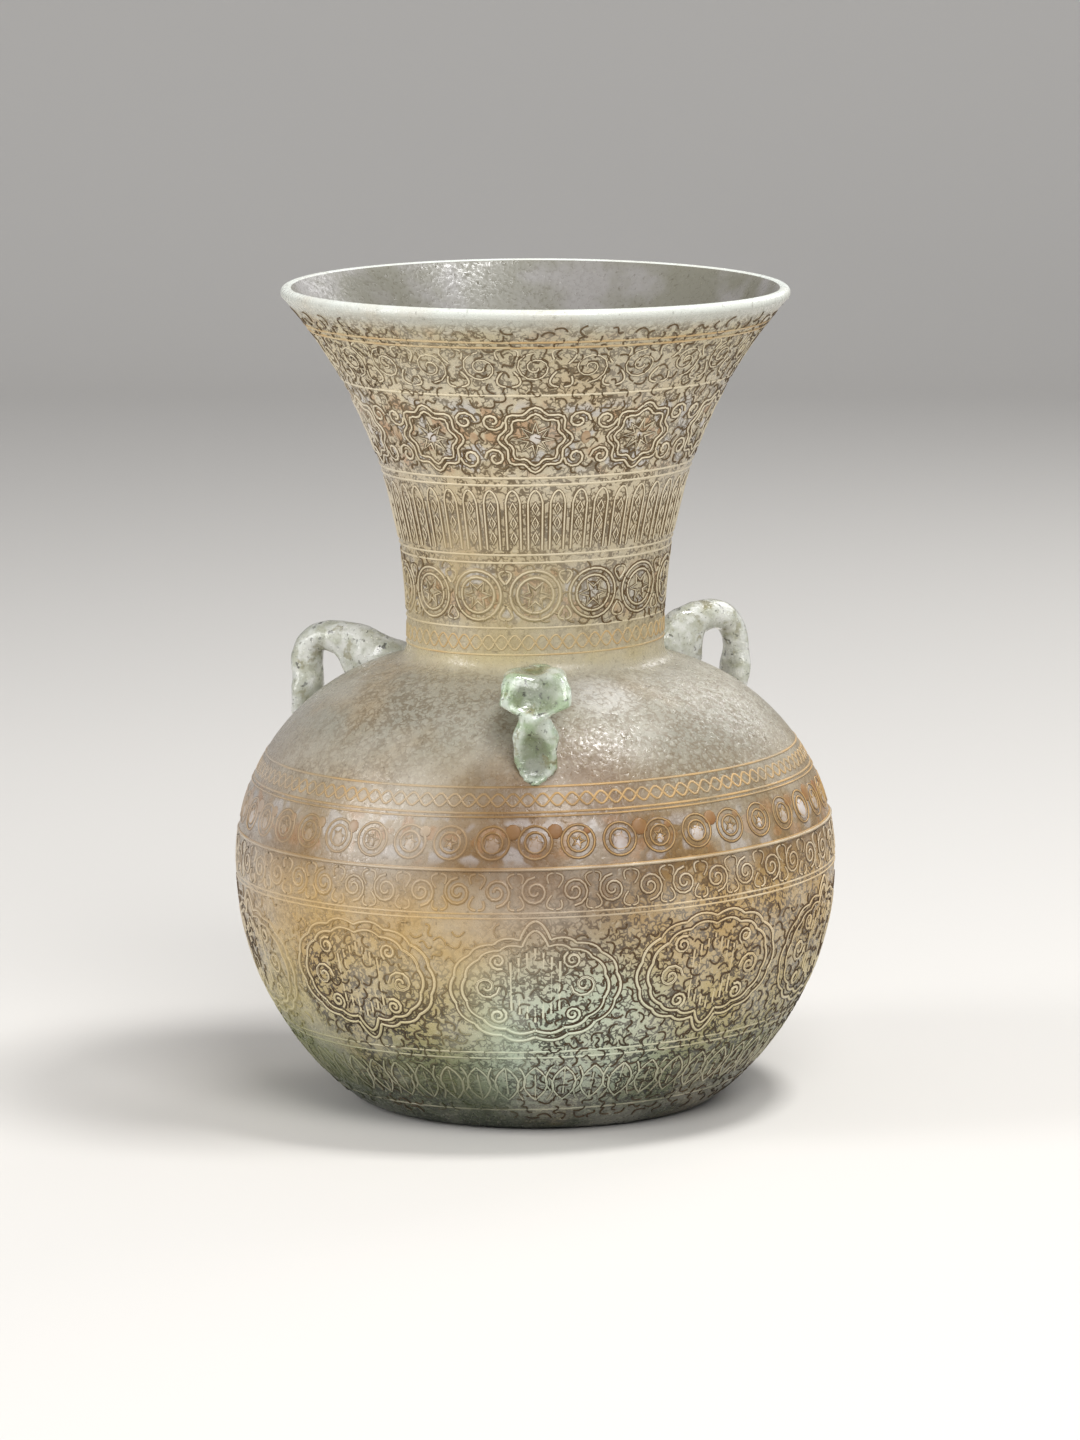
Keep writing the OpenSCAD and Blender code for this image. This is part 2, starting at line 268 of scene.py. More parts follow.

# %% [markdown]
# ## The colours of the lamp
# The vessel's glass has gone frosted, so little shows through it, and its colour changes with height: a
# green-grey foot, worn gold round the belly, a bare grey shoulder, a pale band at the neck root that is
# partly a painted highlight, a khaki neck and a pale lip. Ramps over the height hold that, for the ground,
# the brown lines and how much is painted. A few soft tints round points on the lamp add what height alone
# can't. Some are the glass's own colour, and some are painted light and shade: a painted mint glow of light
# through the glass low in front, painted highlights, pale painted rim light along the edges and painted
# shade on the right of the shoulder. One more point marks where the belly has been rubbed bare.

# %% Colours by height and place
lamp_height = cad_box[1].z
glass_by_height = [
    (0, (54, 62, 44)), (12, (86, 94, 66)), (26, (128, 132, 92)), (40, (192, 178, 126)),
    (54, (194, 172, 120)), (68, (196, 165, 108)), (80, (186, 153, 96)), (93, (142, 112, 68)),
    (108, (150, 126, 88)), (119, (158, 144, 118)), (130, (160, 155, 138)), (146, (168, 163, 146)),
    # The pale stop at 152 mm, at the neck root, is partly a painted highlight along the hollow where neck
    # meets shoulder.
    (152, (206, 192, 150)), (156, (190, 174, 134)), (176, (188, 173, 138)), (205, (214, 199, 168)),
    (240, (222, 208, 176)), (261, (208, 195, 160)), (265, (208, 208, 196)), (270, (224, 228, 220)),
]
lines_by_height = [
    (0, (26, 30, 20)), (30, (36, 34, 22)), (62, (74, 54, 32)), (110, (104, 78, 46)), (160, (104, 84, 52)),
    (260, (108, 90, 60)),
]
paint_by_height = [
    (0, 0.4), (4, 0.8), (9, 1.0), (84, 1.0), (92, 0.7), (96, 0.3), (108, 0.35), (118, 0.6), (123, 0.5),
    (138, 0.6), (147, 0.45), (150, 0.0), (154, 0.2), (162, 0.5), (165, 1.0), (261, 1.0), (264, 0.5),
    (266, 0.0),
]
enamel_by_height = [
    (93, 0.0), (96, 0.45), (107, 0.45), (110, 0.0), (164, 0.0), (168, 0.6), (180, 0.6), (184, 0.0),
    (212, 0.0), (216, 0.8), (236, 0.8), (240, 0.0), (258, 0.0), (261, 0.35), (264, 0.0),
]
# Each tint has a middle, the distances within which it is full and beyond which it is gone, a strength
# and a colour. Some are the glass's own colour, and the ones marked below are painted light and shade.
# Places and distances are in mm.
tints_and_painted_light = [
    # Painted glow: a pale mint patch low in front stands for light shining through the glass.
    ((10, -84, 42), 12, 46, 0.8, (206, 224, 204)),
    ((8, -94, 102), 14, 52, 0.9, (108, 76, 38)),
    ((-40, -40, 190), 10, 60, 0.4, (176, 150, 96)),
    # Painted rim light: pale grey along the left edge of the bulb.
    ((-96, -10, 90), 15, 70, 0.5, (190, 186, 184)),
    # Painted highlight: a small pale pink patch on the front of the belly under the frieze.
    ((0, -96, 72), 5, 34, 0.35, (206, 190, 172)),
    # Painted rim light: pale grey along the left and right edges of the neck.
    ((-66, -10, 214), 8, 46, 0.5, (192, 187, 184)),
    ((66, -6, 214), 8, 40, 0.35, (192, 188, 180)),
    # Painted shade: the right of the shoulder is darkened to grey.
    ((58, -56, 126), 10, 44, 0.5, (132, 128, 114)),
    # Painted highlight: a small near-white spot on the shoulder by the neck, beside the front loop.
    ((21, -55, 143), 4, 17, 0.6, (226, 224, 220)),
    ((-48, -82, 101), 8, 34, 0.5, (194, 186, 174)),
]
rubbed_place = (-26, -92, 92)


def ramp(tree, value, stops):
    """A ColorRamp over a share of the height, from (mm, colour or amount) pairs."""
    node = add(tree, "ShaderNodeValToRGB", {0: value})
    bands = node.color_ramp.elements
    while len(bands) < len(stops):
        bands.new(0.5)
    for band_stop, (z, look) in zip(bands, stops):
        band_stop.position = z * MM / lamp_height
        band_stop.color = srgb(*look) if isinstance(look, tuple) else (look, look, look, 1.0)
    return node.outputs[0]


def near_point(tree, centre, near, far):
    """1 near a point on the lamp, given in mm, and 0 far from it."""
    point = tuple(v * MM for v in centre)
    gap = vector_maths(tree, "DISTANCE", {0: object_place(tree), 1: point})["Value"]
    return span(tree, gap, near * MM, far * MM, 1.0, 0.0)


def worn_mask(tree, centre):
    return use_group(tree, wear, {"Centre": centre})["Mask"]


def height_share(tree):
    return maths(tree, "DIVIDE", split(tree, object_place(tree))[2], lamp_height)


def make_lamp_colours():
    """The colours of the ground, painted light and shade included, and of the brown lines, how much is
    painted, and where it is rubbed.
    """
    results = [("Ground", "Color"), ("Ink", "Color"), ("Painted", "Float"), ("Rubbed", "Float")]
    tree, _, outlet = new_group("lamp_colours", [], results)
    height = height_share(tree)
    ground = ramp(tree, height, glass_by_height)
    for centre, near, far, most, colour in tints_and_painted_light:
        amount = times(tree, near_point(tree, centre, near, far), most)
        ground = blend_colours(tree, amount, ground, srgb(*colour))
    fresh = maths(tree, "SUBTRACT", 1.0, times(tree, worn_mask(tree, 0.40), 0.7))
    rubbed = near_point(tree, rubbed_place, near=16, far=58)
    left_over = maths(tree, "SUBTRACT", 1.0, times(tree, rubbed, 0.8))
    tree.links.new(ground, outlet["Ground"])
    tree.links.new(ramp(tree, height, lines_by_height), outlet["Ink"])
    tree.links.new(times(tree, ramp(tree, height, paint_by_height), fresh, left_over), outlet["Painted"])
    tree.links.new(rubbed, outlet["Rubbed"])
    return tree


lamp_colours = make_lamp_colours()
print("group", lamp_colours.name, "with", len(tints_and_painted_light), "tints_and_painted_light")

# %% [markdown]
# ## The glass and the paint
# Under the maze, the glass shows a little worn gilding and patches of white and orange enamel. The raised
# paint reads the same colours and the same wear as the glass, so a stroke fades where its ground is bare.
# Transmission stays a plain value on each shader, because glass that varies there doesn't export.

# %% Materials
def new_material(name, **sockets):
    material = bpy.data.materials.new(name)
    material.use_nodes = True
    shader = material.node_tree.nodes["Principled BSDF"]
    for label, value in sockets.items():
        shader.inputs[label.replace("_", " ")].default_value = value
    return material, material.node_tree, shader


def raise_bump(tree, shader, height, strength, distance):
    bump = add(tree, "ShaderNodeBump", {"Strength": strength, "Distance": distance, "Height": height})
    tree.links.new(bump.outputs[0], shader.inputs["Normal"])


def weather(tree, shader, colour, film, pits, film_amount, pit_amount, scale, bump, relief=0.0, matt=1.0):
    """Weathers a colour on its way to the shader. Relief adds height, and matt scales the roughness."""
    aged = use_group(tree, weathering, {
        "Colour": colour, "Film": film, "Pits": pits,
        "Film amount": film_amount, "Pit amount": pit_amount, "Scale": scale,
    })
    tree.links.new(aged["Colour"], shader.inputs["Base Color"])
    tree.links.new(times(tree, aged["Roughness"], matt), shader.inputs["Roughness"])
    raise_bump(tree, shader, plus(tree, aged["Height"], relief), bump, 0.4 * MM)


def lay_enamel(tree, colour):
    """Worn patches of white and orange enamel, in the bands that had them."""
    bands = ramp(tree, height_share(tree), enamel_by_height)
    tint = speckle(tree, 130.0, 1.0)
    white = times(tree, span(tree, tint, 0.54, 0.62, 0.0, 0.75), bands)
    orange = times(tree, span(tree, tint, 0.36, 0.44, 0.7, 0.0), bands)
    whitened = blend_colours(tree, white, colour, srgb(206, 206, 210))
    return blend_colours(tree, orange, whitened, srgb(184, 124, 66))


def make_vessel_glass():
    material, tree, shader = new_material("vessel_glass", Transmission_Weight=0.18, IOR=1.5)
    colours = use_group(tree, lamp_colours)
    gilt_share = span(tree, speckle(tree, 28.0, 5.0), 0.5, 0.74, 0.0, 0.3)
    gilt = blend_colours(tree, gilt_share, colours["Ground"], srgb(190, 150, 92))
    winding = use_group(tree, maze)
    raised = times(tree, winding["Strokes"], colours["Painted"])
    stroked = blend_colours(tree, times(tree, raised, 0.3), lay_enamel(tree, gilt), srgb(224, 216, 194))
    inked = times(tree, winding["Lines"], colours["Painted"], 0.92)
    lined = blend_colours(tree, inked, stroked, colours["Ink"])
    matt = span(tree, colours["Painted"], 0.1, 0.6, 0.8, 1.0)
    weather(tree, shader, lined, srgb(206, 201, 188), srgb(96, 82, 58), film_amount=0.3, pit_amount=0.45,
            scale=45.0, bump=0.4, relief=raised, matt=matt)
    return material


def make_inner_glass():
    material, tree, shader = new_material("inner_glass", Transmission_Weight=0.15, IOR=1.5)
    weather(tree, shader, srgb(116, 113, 100), srgb(148, 144, 144), srgb(72, 64, 44), film_amount=0.6,
            pit_amount=0.6, scale=50.0, bump=0.3)
    return material


def make_paint(name, colour, under, own, wear_share):
    """Raised paint: its own colour, up to a share, over the ground's or the ink's, thin where it is worn."""
    material, tree, shader = new_material(name, Specular_IOR_Level=0.4)
    colours = use_group(tree, lamp_colours)
    share = span(tree, speckle(tree, 90.0), 0.3, 0.7, 0.25, own)
    fresh = blend_colours(tree, share, colours[under], colour)
    worn = times(tree, worn_mask(tree, 0.42), wear_share)
    thin = maths(tree, "MAXIMUM", worn, times(tree, colours["Rubbed"], 0.75))
    tree.links.new(blend_colours(tree, thin, fresh, colours["Ground"]), shader.inputs["Base Color"])
    tree.links.new(span(tree, speckle(tree, 300.0), 0.3, 0.7, 0.3, 0.6), shader.inputs["Roughness"])
    raise_bump(tree, shader, speckle(tree, 900.0), 0.35, 0.2 * MM)
    return material


vessel_glass = make_vessel_glass()
inner_glass = make_inner_glass()
brown_line = make_paint("brown_line", srgb(88, 66, 38), "Ink", own=0.7, wear_share=0.8)
gold_line = make_paint("gold_line", srgb(190, 154, 100), "Ground", own=0.85, wear_share=0.8)
pale_line = make_paint("pale_line", srgb(222, 212, 188), "Ground", own=0.55, wear_share=0.6)
white_dab = make_paint("white_dab", srgb(204, 200, 200), "Ground", own=0.8, wear_share=0.8)
orange_dab = make_paint("orange_dab", srgb(132, 84, 40), "Ground", own=0.85, wear_share=0.8)
print("materials", [material.name for material in bpy.data.materials])

# %% [markdown]
# ## The vessel
# A blown vessel is a round outline turned about its axis, so it is built the same way: arcs that run into
# each other, from the pushed-in base up over the belly, the shoulder and the neck to the rounded lip, and
# back down inside. The lip was trimmed by hand and stands higher at the back. That lift is a small move
# of the points, which the painting gets too, so that it stays on the glass.

# %% Outline of the vessel
bulb_r = (cad_box[1].x - cad_box[0].x) / 2
belly_z = 80 * MM
shoulder_r = 68.8 * MM
shoulder_x = bulb_r - shoulder_r
wall = 3 * MM
neck_r = 42.5 * MM
waist_z = 158 * MM
mouth_r = 84 * MM
lip_r = 2.1 * MM
lip_inset = 2.4 * MM
root_r = 5 * MM
floor_t = 5 * MM
base_edge_r = 10 * MM
kick_w = 20 * MM
kick_h = 5 * MM
rim_lift = 2.4 * MM
lip_from = 246 * MM

lip = Vector((mouth_r - lip_inset, lamp_height - lip_inset))
mid_waist = neck_r - wall / 2
flare_run = lip - Vector((mid_waist, waist_z))
flare_mid_r = flare_run.length_squared / (2 * flare_run.x)
flare = Vector((mid_waist + flare_mid_r, waist_z))
shoulder = Vector((shoulder_x, belly_z))
kick_r = (kick_w ** 2 + kick_h ** 2) / (2 * kick_h)


def meet(a, ra, b, rb):
    """Where the circle round a meets the circle round b, on the left of the way from a to b."""
    way = b - a
    d = way.length
    along = (ra * ra - rb * rb + d * d) / (2 * d)
    off = math.sqrt(ra * ra - along * along)
    e = way / d
    return a + along * e + off * Vector((-e.y, e.x))


def arc(centre, r, start, end, steps):
    """Points on an arc, angles in radians."""
    turns = [start + (end - start) * i / steps for i in range(steps + 1)]
    return [centre + r * Vector((math.cos(t), math.sin(t))) for t in turns]


def heading(way):
    return math.atan2(way.y, way.x)


def side_outline(depth, z0):
    """The outline at a depth under the outer face, from the edge of the base up to the lip."""
    r = bulb_r - depth
    edge_z = z0 + base_edge_r
    edge = Vector((math.sqrt((r - base_edge_r) ** 2 - (belly_z - edge_z) ** 2), edge_z))
    turn = heading(edge - Vector((0, belly_z)))
    arc_r = shoulder_r - depth
    hollow_r = root_r + depth
    flare_r = flare_mid_r - wall / 2 + depth
    hollow = meet(shoulder, arc_r + hollow_r, flare, flare_r - hollow_r)
    on_shoulder = heading(hollow - shoulder)
    on_flare = heading(hollow - flare) % math.tau
    lip_turn = heading(lip - flare)
    points = arc(edge, base_edge_r, -math.pi / 2, turn, 8)
    points += arc(Vector((0, belly_z)), r, turn, 0, 48)[1:]
    points += arc(shoulder, arc_r, 0, on_shoulder, 48)[1:]
    points += arc(hollow, hollow_r, on_shoulder + math.pi, on_flare, 10)[1:]
    for t in np.linspace(on_flare, lip_turn % math.tau, 61)[1:]:
        swell = max(0.0, (waist_z + flare_r * math.sin(t) - lip_from) / (lip.y - lip_from)) ** 2
        sway = (lip_r - wall / 2) * swell * (1 if depth else -1)
        points.append(flare + (flare_r + sway) * Vector((math.cos(t), math.sin(t))))
    return points


outer_side = side_outline(0, 0)
inner_side = side_outline(wall, floor_t)
bead_start = heading(outer_side[-1] - lip)
bead_end = heading(inner_side[-1] - lip)
lip_bead = arc(lip, lip_r, bead_start, bead_end % math.tau, 18)[1:-1]
kick_centre = Vector((0, kick_h - kick_r))
kick_turn = math.asin(kick_w / kick_r)
under = arc(kick_centre, kick_r, math.pi / 2, math.pi / 2 - kick_turn, 8)
bump_r = kick_r + floor_t
bump_turn = math.acos((floor_t - kick_centre.y) / bump_r)
floor_bump = arc(kick_centre, bump_r, math.pi / 2 - bump_turn, math.pi / 2, 8)
outer_outline = under + outer_side + lip_bead
inner_outline = inner_side[::-1] + floor_bump
print("outline", len(outer_outline), "points outside and", len(inner_outline), "inside")


# %% Turn the outline
def blown(points):
    """The hand-made unevenness of the lamp: the lip stands higher at the back. Takes and gives an array."""
    turn = np.arctan2(points[:, 1], points[:, 0])
    rise = np.clip((points[:, 2] - waist_z) / (lamp_height - waist_z), 0, 1)
    back = ((1 + np.sin(turn)) / 2) ** 2
    lifted = points.copy()
    lifted[:, 2] += rim_lift * rise * rise * (3 - 2 * rise) * back
    return lifted


def solid_mesh(name, points, faces, smooth=True):
    mesh = bpy.data.meshes.new(name)
    mesh.from_pydata(points, [], faces)
    if smooth:
        mesh.polygons.foreach_set("use_smooth", [True] * len(faces))
    mesh.update()
    return mesh


def turned(name, outline, steps, shape=None):
    """A mesh made by turning an outline of (r, z) points about the axis. Points on the axis are poles."""
    rings = []
    points = []
    for r, z in outline:
        if r < 1e-7:
            rings.append([len(points)] * steps)
            points.append((0, 0, z))
            continue
        rings.append(list(range(len(points), len(points) + steps)))
        for k in range(steps):
            a = math.tau * k / steps
            points.append((r * math.cos(a), r * math.sin(a), z))
    faces = []
    for low, high in zip(rings, rings[1:]):
        for k in range(steps):
            n = (k + 1) % steps
            corners = [low[k], low[n], high[n], high[k]]
            faces.append([c for i, c in enumerate(corners) if c not in corners[:i]])
    places = np.array(points)
    return solid_mesh(name, (shape(places) if shape else places).tolist(), faces)


def show(name, mesh, body, nodes=(), materials=()):
    """Makes the finished piece: an object at the origin that rides on a body and stands for its nodes."""
    piece = bpy.data.objects.new(name, mesh)
    bpy.context.scene.collection.objects.link(piece)
    for material in materials:
        mesh.materials.append(material)
    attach(piece, body)
    if nodes:
        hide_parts(*nodes)
    print(name, len(mesh.polygons), "faces")
    return piece


turn_steps = 256
vessel_outline = [(p.x if p.x > 1e-9 else 0.0, p.y) for p in outer_outline + inner_outline]
vessel_mesh = turned("vessel_shell", vessel_outline, turn_steps, blown)
vessel = show("vessel_shell", vessel_mesh, "lamp", ["vessel"], [vessel_glass, inner_glass])
inner_faces = (len(outer_outline) - 1) * turn_steps
for face in vessel.data.polygons[inner_faces:]:
    face.material_index = 1

# %% [markdown]
# ## The loops
# Each loop is a rope of hot glass: pressed on at the neck, drawn up over a crest, down to the shoulder
# and out in a leaf-shaped tail that a tool has dented. The rope follows a route of three smooth curves
# over the shoulder, with a width and a thickness along it. The same rule made the solid loops, and here
# it has many more rings, plus the lumps that a gather of glass has.

# %% Loop glass
def make_loop_glass():
    """Green glass with stains and specks, paler on the side loops, with painted shade darkening its grooves
    and dents.
    """
    material, tree, shader = new_material("loop_glass", Transmission_Weight=0.45, IOR=1.5, Coat_Weight=0.7)
    shader.inputs["Coat Roughness"].default_value = 0.06
    streak = span(tree, speckle(tree, 190.0, 2.0), 0.38, 0.62)
    green = blend_colours(tree, streak, srgb(182, 202, 164), srgb(242, 250, 236))
    pale = blend_colours(tree, streak, srgb(206, 206, 188), srgb(246, 246, 240))
    across = maths(tree, "ABSOLUTE", split(tree, object_place(tree))[0])
    clear = blend_colours(tree, span(tree, across, 25 * MM, 45 * MM, 0.0, 0.9), green, pale)
    # Painted shade: the attribute darkens pressed hollows and the dips between lumps to olive.
    groove_shade = add(tree, "ShaderNodeAttribute", attribute_name="groove_shade").outputs["Fac"]
    groove_shaded = blend_colours(tree, span(tree, groove_shade, 0.10, 0.7, 0.0, 0.75), clear, srgb(108, 116, 76))
    stain = span(tree, speckle(tree, 130.0, 4.0, 0.6), 0.55, 0.64, 0.0, 0.75)
    stained = blend_colours(tree, stain, groove_shaded, srgb(136, 128, 70))
    speck = span(tree, speckle(tree, 420.0, 2.0), 0.62, 0.68, 0.0, 0.8)
    specked = blend_colours(tree, speck, stained, srgb(48, 46, 30))
    weather(tree, shader, specked, srgb(236, 240, 232), srgb(52, 50, 34), film_amount=0.3, pit_amount=0.7,
            scale=110.0, bump=0.6, matt=0.5)
    return material


loop_glass = make_loop_glass()
print("material", loop_glass.name)

# %% Route of a loop
loop_sizes = {
    "front": {
        "dir": 0, "hip": 20, "crest": 32, "reach": 16, "rise": 20, "fill": 4, "leg": 9,
        "lean": 6, "wide": 23,
    },
    "left": {
        "dir": -117, "hip": 20, "crest": 32.5, "reach": 18.5, "rise": 16.6, "fill": 5, "leg": 11.6,
        "lean": 9.5, "wide": 10,
    },
    "right": {
        "dir": 125, "hip": 11, "crest": 26, "reach": 16.5, "rise": 18.8, "fill": 8, "leg": 8,
        "lean": 5.5, "wide": 10,
    },
}
rope_t = 9.4
hip_t = 13
root_w = 13
tail_len = 7
tail_w = 14
press = 0.5
root_sink = 4
hip_sink = 3
crest_swell = 1
foot_lift = 2.5
leg_pull = 15.5
tip_sink = 1


def over_shoulder(s, h):
    """A point over the shoulder, as distance from the axis and height: s mm out from the neck, h mm up."""
    turn = math.acos((neck_r - shoulder_x) / shoulder_r) - s * MM / shoulder_r
    return shoulder + (shoulder_r + h * MM) * Vector((math.cos(turn), math.sin(turn)))


def curve(p, t):
    """A point on a smooth curve from p[0] to p[3], drawn towards p[1] and p[2]."""
    u = 1 - t
    return u ** 3 * p[0] + 3 * t * u * u * p[1] + 3 * t * t * u * p[2] + t ** 3 * p[3]


def route(size, t):
    """The route of a loop as (s, h): t runs from 0 to 3 over the way up, down and out."""
    crest = Vector((size["crest"], size["rise"]))
    foot = Vector((size["crest"] + size["reach"], foot_lift))
    tip = foot + Vector((tail_len, -foot_lift - tip_sink))
    hip = size["hip"]
    if t < 1:
        return curve([Vector((0, -root_sink)), Vector((hip, -hip_sink)),
                      Vector((hip + hip_sink, size["rise"] - root_sink)), crest], t)
    if t < 2:
        swell = crest + Vector((size["reach"] / 3, crest_swell))
        return curve([crest, swell, foot + Vector((-size["lean"], leg_pull - size["lean"])), foot], t - 1)
    return curve([foot, foot + Vector((foot_lift, -foot_lift)),
                  tip - Vector((tail_len / 2, -tip_sink)), tip], t - 2)


print("loops", sorted(loop_sizes))


# %% Rope of a loop
def lookup(t, table):
    """A value between the points of a table, eased so that the form has no corners."""
    for (t0, v0), (t1, v1) in zip(table, table[1:]):
        if t <= t1:
            share = max(0.0, min(1.0, (t - t0) / (t1 - t0)))
            return v0 + (v1 - v0) * share * share * (3 - 2 * share)
    return table[-1][1]


def loop_mesh(name, size, rings=160, sides=48):
    """The rope of one loop, with lumps and a pressed crest and tail."""
    crest_w = size["wide"]
    pinch = press * max(0.0, min(1.0, 2 * (crest_w - tail_w) / tail_w))
    widths = [(0, root_w), (0.9, (root_w + 2 * crest_w) / 3), (1.2, crest_w), (1.38, crest_w)]
    tail_shares = [(1.54, 0.74), (1.78, 1.0), (1.95, 1.0), (2.2, 0.94), (2.5, 0.78), (2.8, 0.5), (3, 0.16)]
    widths += [(t, tail_w * share) for t, share in tail_shares]
    depths = [(0, rope_t), (0.4, hip_t), (0.55, hip_t), (1, rope_t), (1.4, size["leg"]), (1.7, size["leg"]),
              (2, size["leg"] * 0.8), (2.4, rope_t * 0.6), (3, rope_t * 0.3)]
    fills = [(0.2, 0), (0.4, size["fill"]), (0.6, size["fill"]), (0.78, 0)]
    presses = [(0.5, 0), (0.9, pinch * 1.4), (1.38, pinch * 2.0), (1.56, press * 0.3), (1.8, press * 1.7),
               (2.6, press * 1.7), (3, 0)]
    lump = 1.2 if crest_w > tail_w else 0.6
    lump_size = 6 * MM
    grain = 0.12
    grain_size = 2.2 * MM
    way_points = [over_shoulder(*route(size, 3 * i / rings)) for i in range(rings + 1)]
    turn = Matrix.Rotation(math.radians(size["dir"]), 3, "Z")
    points = []
    groove_shades = []
    for i, middle in enumerate(way_points):
        t = 3 * i / rings
        way = (way_points[min(i + 1, rings)] - way_points[max(i - 1, 0)]).normalized()
        out = Vector((-way.y, way.x))
        half_w = lookup(t, widths) / 2
        half_t = lookup(t, depths) / 2
        for k in range(sides):
            a = math.tau * k / sides
            hollow = lookup(t, presses) * abs(math.sin(a)) ** 4 if math.sin(a) > 0 else 0.0
            up = math.sin(a) * half_t - hollow * half_t + min(math.sin(a), 0.0) * lookup(t, fills)
            p = middle + up * MM * out
            place = Vector((half_w * math.cos(a) * MM, -p.x, p.y))
            push = noise.noise(place / lump_size + Vector((size["dir"], 0, 0))) * lump
            push += noise.noise(place / grain_size) * grain
            away = Vector((math.cos(a), -out.x * math.sin(a), out.y * math.sin(a)))
            points.append(turn @ (place + push * MM * away))
            # Painted shade: how deep a point lies in a pressed hollow or between lumps, read by the loop
            # glass to darken it.
            groove_shades.append(hollow - push / lump * 0.5)
    faces = []
    for i in range(rings):
        for k in range(sides):
            a = i * sides + k
            b = i * sides + (k + 1) % sides
            faces.append([a, b, b + sides, a + sides])
    faces.append(list(reversed(range(sides))))
    faces.append([rings * sides + k for k in range(sides)])
    mesh = solid_mesh(name, points, faces)
    mesh.attributes.new("groove_shade", "FLOAT", "POINT").data.foreach_set("value", groove_shades)
    return mesh


for place, size in loop_sizes.items():
    mesh = loop_mesh("loop_" + place, size)
    show("loop_" + place, mesh, "lamp", ["handle_" + place], [loop_glass])

# %% [markdown]
# ## Painted line-work
# The outside is covered with fine raised lines: plain lines round the lamp, braids, scrolls, roundels,
# pointed cartouches and leaves, with curls filling what is left. Drawing them by hand would take days, so
# Geometry Nodes repeat a motif round the lamp. The motif is made flat, with x round the lamp and y up
# along its outline, and one step then lays it on the glass. The outline is made of arcs, so that step is
# a formula.

# %% Where a flat drawing goes on the lamp
neck_zone = {"x": flare.x, "z": waist_z, "r": flare_mid_r - wall / 2, "k": -1.0}
shoulder_zone = {"x": shoulder_x, "z": belly_z, "r": shoulder_r, "k": 1.0}
ball_zone = {"x": 0.0, "z": belly_z, "r": bulb_r, "k": 1.0}
root_z = 149 * MM


def zone_at(z):
    return neck_zone if z > root_z else shoulder_zone if z > belly_z else ball_zone


def way_up(zone, z):
    """How far up along the outline a height lies, from where the zone's arc is level or upright."""
    return zone["r"] * math.asin((z - zone["z"]) / zone["r"])


def girth(zone, z):
    """The lamp's radius at a height."""
    return zone["x"] + zone["k"] * math.sqrt(zone["r"] ** 2 - (z - zone["z"]) ** 2)


print("neck arc", round(neck_zone["r"] / MM, 1), "mm, ball arc", round(ball_zone["r"] / MM, 1), "mm")

# %% Trees for drawings
drawing_sizes = {
    "Geometry": "Geometry", "Count": "Int", "Turn radius": "Float", "Middle": "Float",
    "Line radius": "Float", "Sink": "Float", "Tilt": "Float",
}


def flat_tree(name):
    """An empty tree with the sizes that every drawing has, and its sockets."""
    tree = bpy.data.node_groups.new(name, "GeometryNodeTree")
    for label, kind in drawing_sizes.items():
        tree.interface.new_socket(label, in_out="INPUT", socket_type="NodeSocket" + kind)
    tree.interface.new_socket("Geometry", in_out="OUTPUT", socket_type="NodeSocketGeometry")
    return tree, tree.nodes.new("NodeGroupInput").outputs


def here(tree):
    return add(tree, "GeometryNodeInputPosition").outputs[0]


def random_value(tree, least, most, seed):
    """A number for each point, drawn between two others."""
    inputs = {2: least, 3: most, "Seed": seed}
    return add(tree, "FunctionNodeRandomValue", inputs, data_type="FLOAT").outputs[1]


def set_place(tree, part, **where):
    """Moves the points of a part to a Position, or by an Offset."""
    return add(tree, "GeometryNodeSetPosition", {"Geometry": part, **where}).outputs[0]


def lay_on_lamp(tree, sizes, zone, flat):
    """Moves a flat drawing on to the glass: x turns round the axis, y runs up the zone's arc."""
    place = split(tree, here(tree))
    angle = maths(tree, "DIVIDE", place[0], sizes["Turn radius"])
    lean = times(tree, maths(tree, "SINE", angle), sizes["Tilt"])
    bend = maths(tree, "DIVIDE", plus(tree, place[1], lean), zone["r"])
    depth = times(tree, maths(tree, "SUBTRACT", place[2], sizes["Sink"]), zone["k"])
    reach = plus(tree, depth, zone["r"])
    radius = plus(tree, times(tree, reach, maths(tree, "COSINE", bend), zone["k"]), zone["x"])
    up = plus(tree, times(tree, reach, maths(tree, "SINE", bend)), zone["z"])
    x = times(tree, radius, maths(tree, "SINE", angle))
    y = times(tree, radius, maths(tree, "COSINE", angle), -1.0)
    return set_place(tree, flat, Position=join(tree, x, y, up))


def paint(tree, drawing, material):
    """Makes a drawing smooth and real, and paints it. Every tree ends here."""
    smooth = add(tree, "GeometryNodeSetShadeSmooth", {"Geometry": drawing}).outputs[0]
    real = add(tree, "GeometryNodeRealizeInstances", {"Geometry": smooth}).outputs[0]
    painted = add(tree, "GeometryNodeSetMaterial", {"Geometry": real, "Material": material}).outputs[0]
    add(tree, "NodeGroupOutput", {0: painted})


def thicken(tree, sizes, curves, sides=4):
    """Gives curves a round section."""
    inputs = {"Resolution": sides, "Radius": sizes["Line radius"]}
    section = add(tree, "GeometryNodeCurvePrimitiveCircle", inputs).outputs[0]
    return add(tree, "GeometryNodeCurveToMesh", {"Curve": curves, "Profile Curve": section}).outputs[0]


def gather(tree, parts):
    """Joins several curves."""
    joined = tree.nodes.new("GeometryNodeJoinGeometry")
    for part in parts:
        tree.links.new(part, joined.inputs[0])
    return joined.outputs[0]


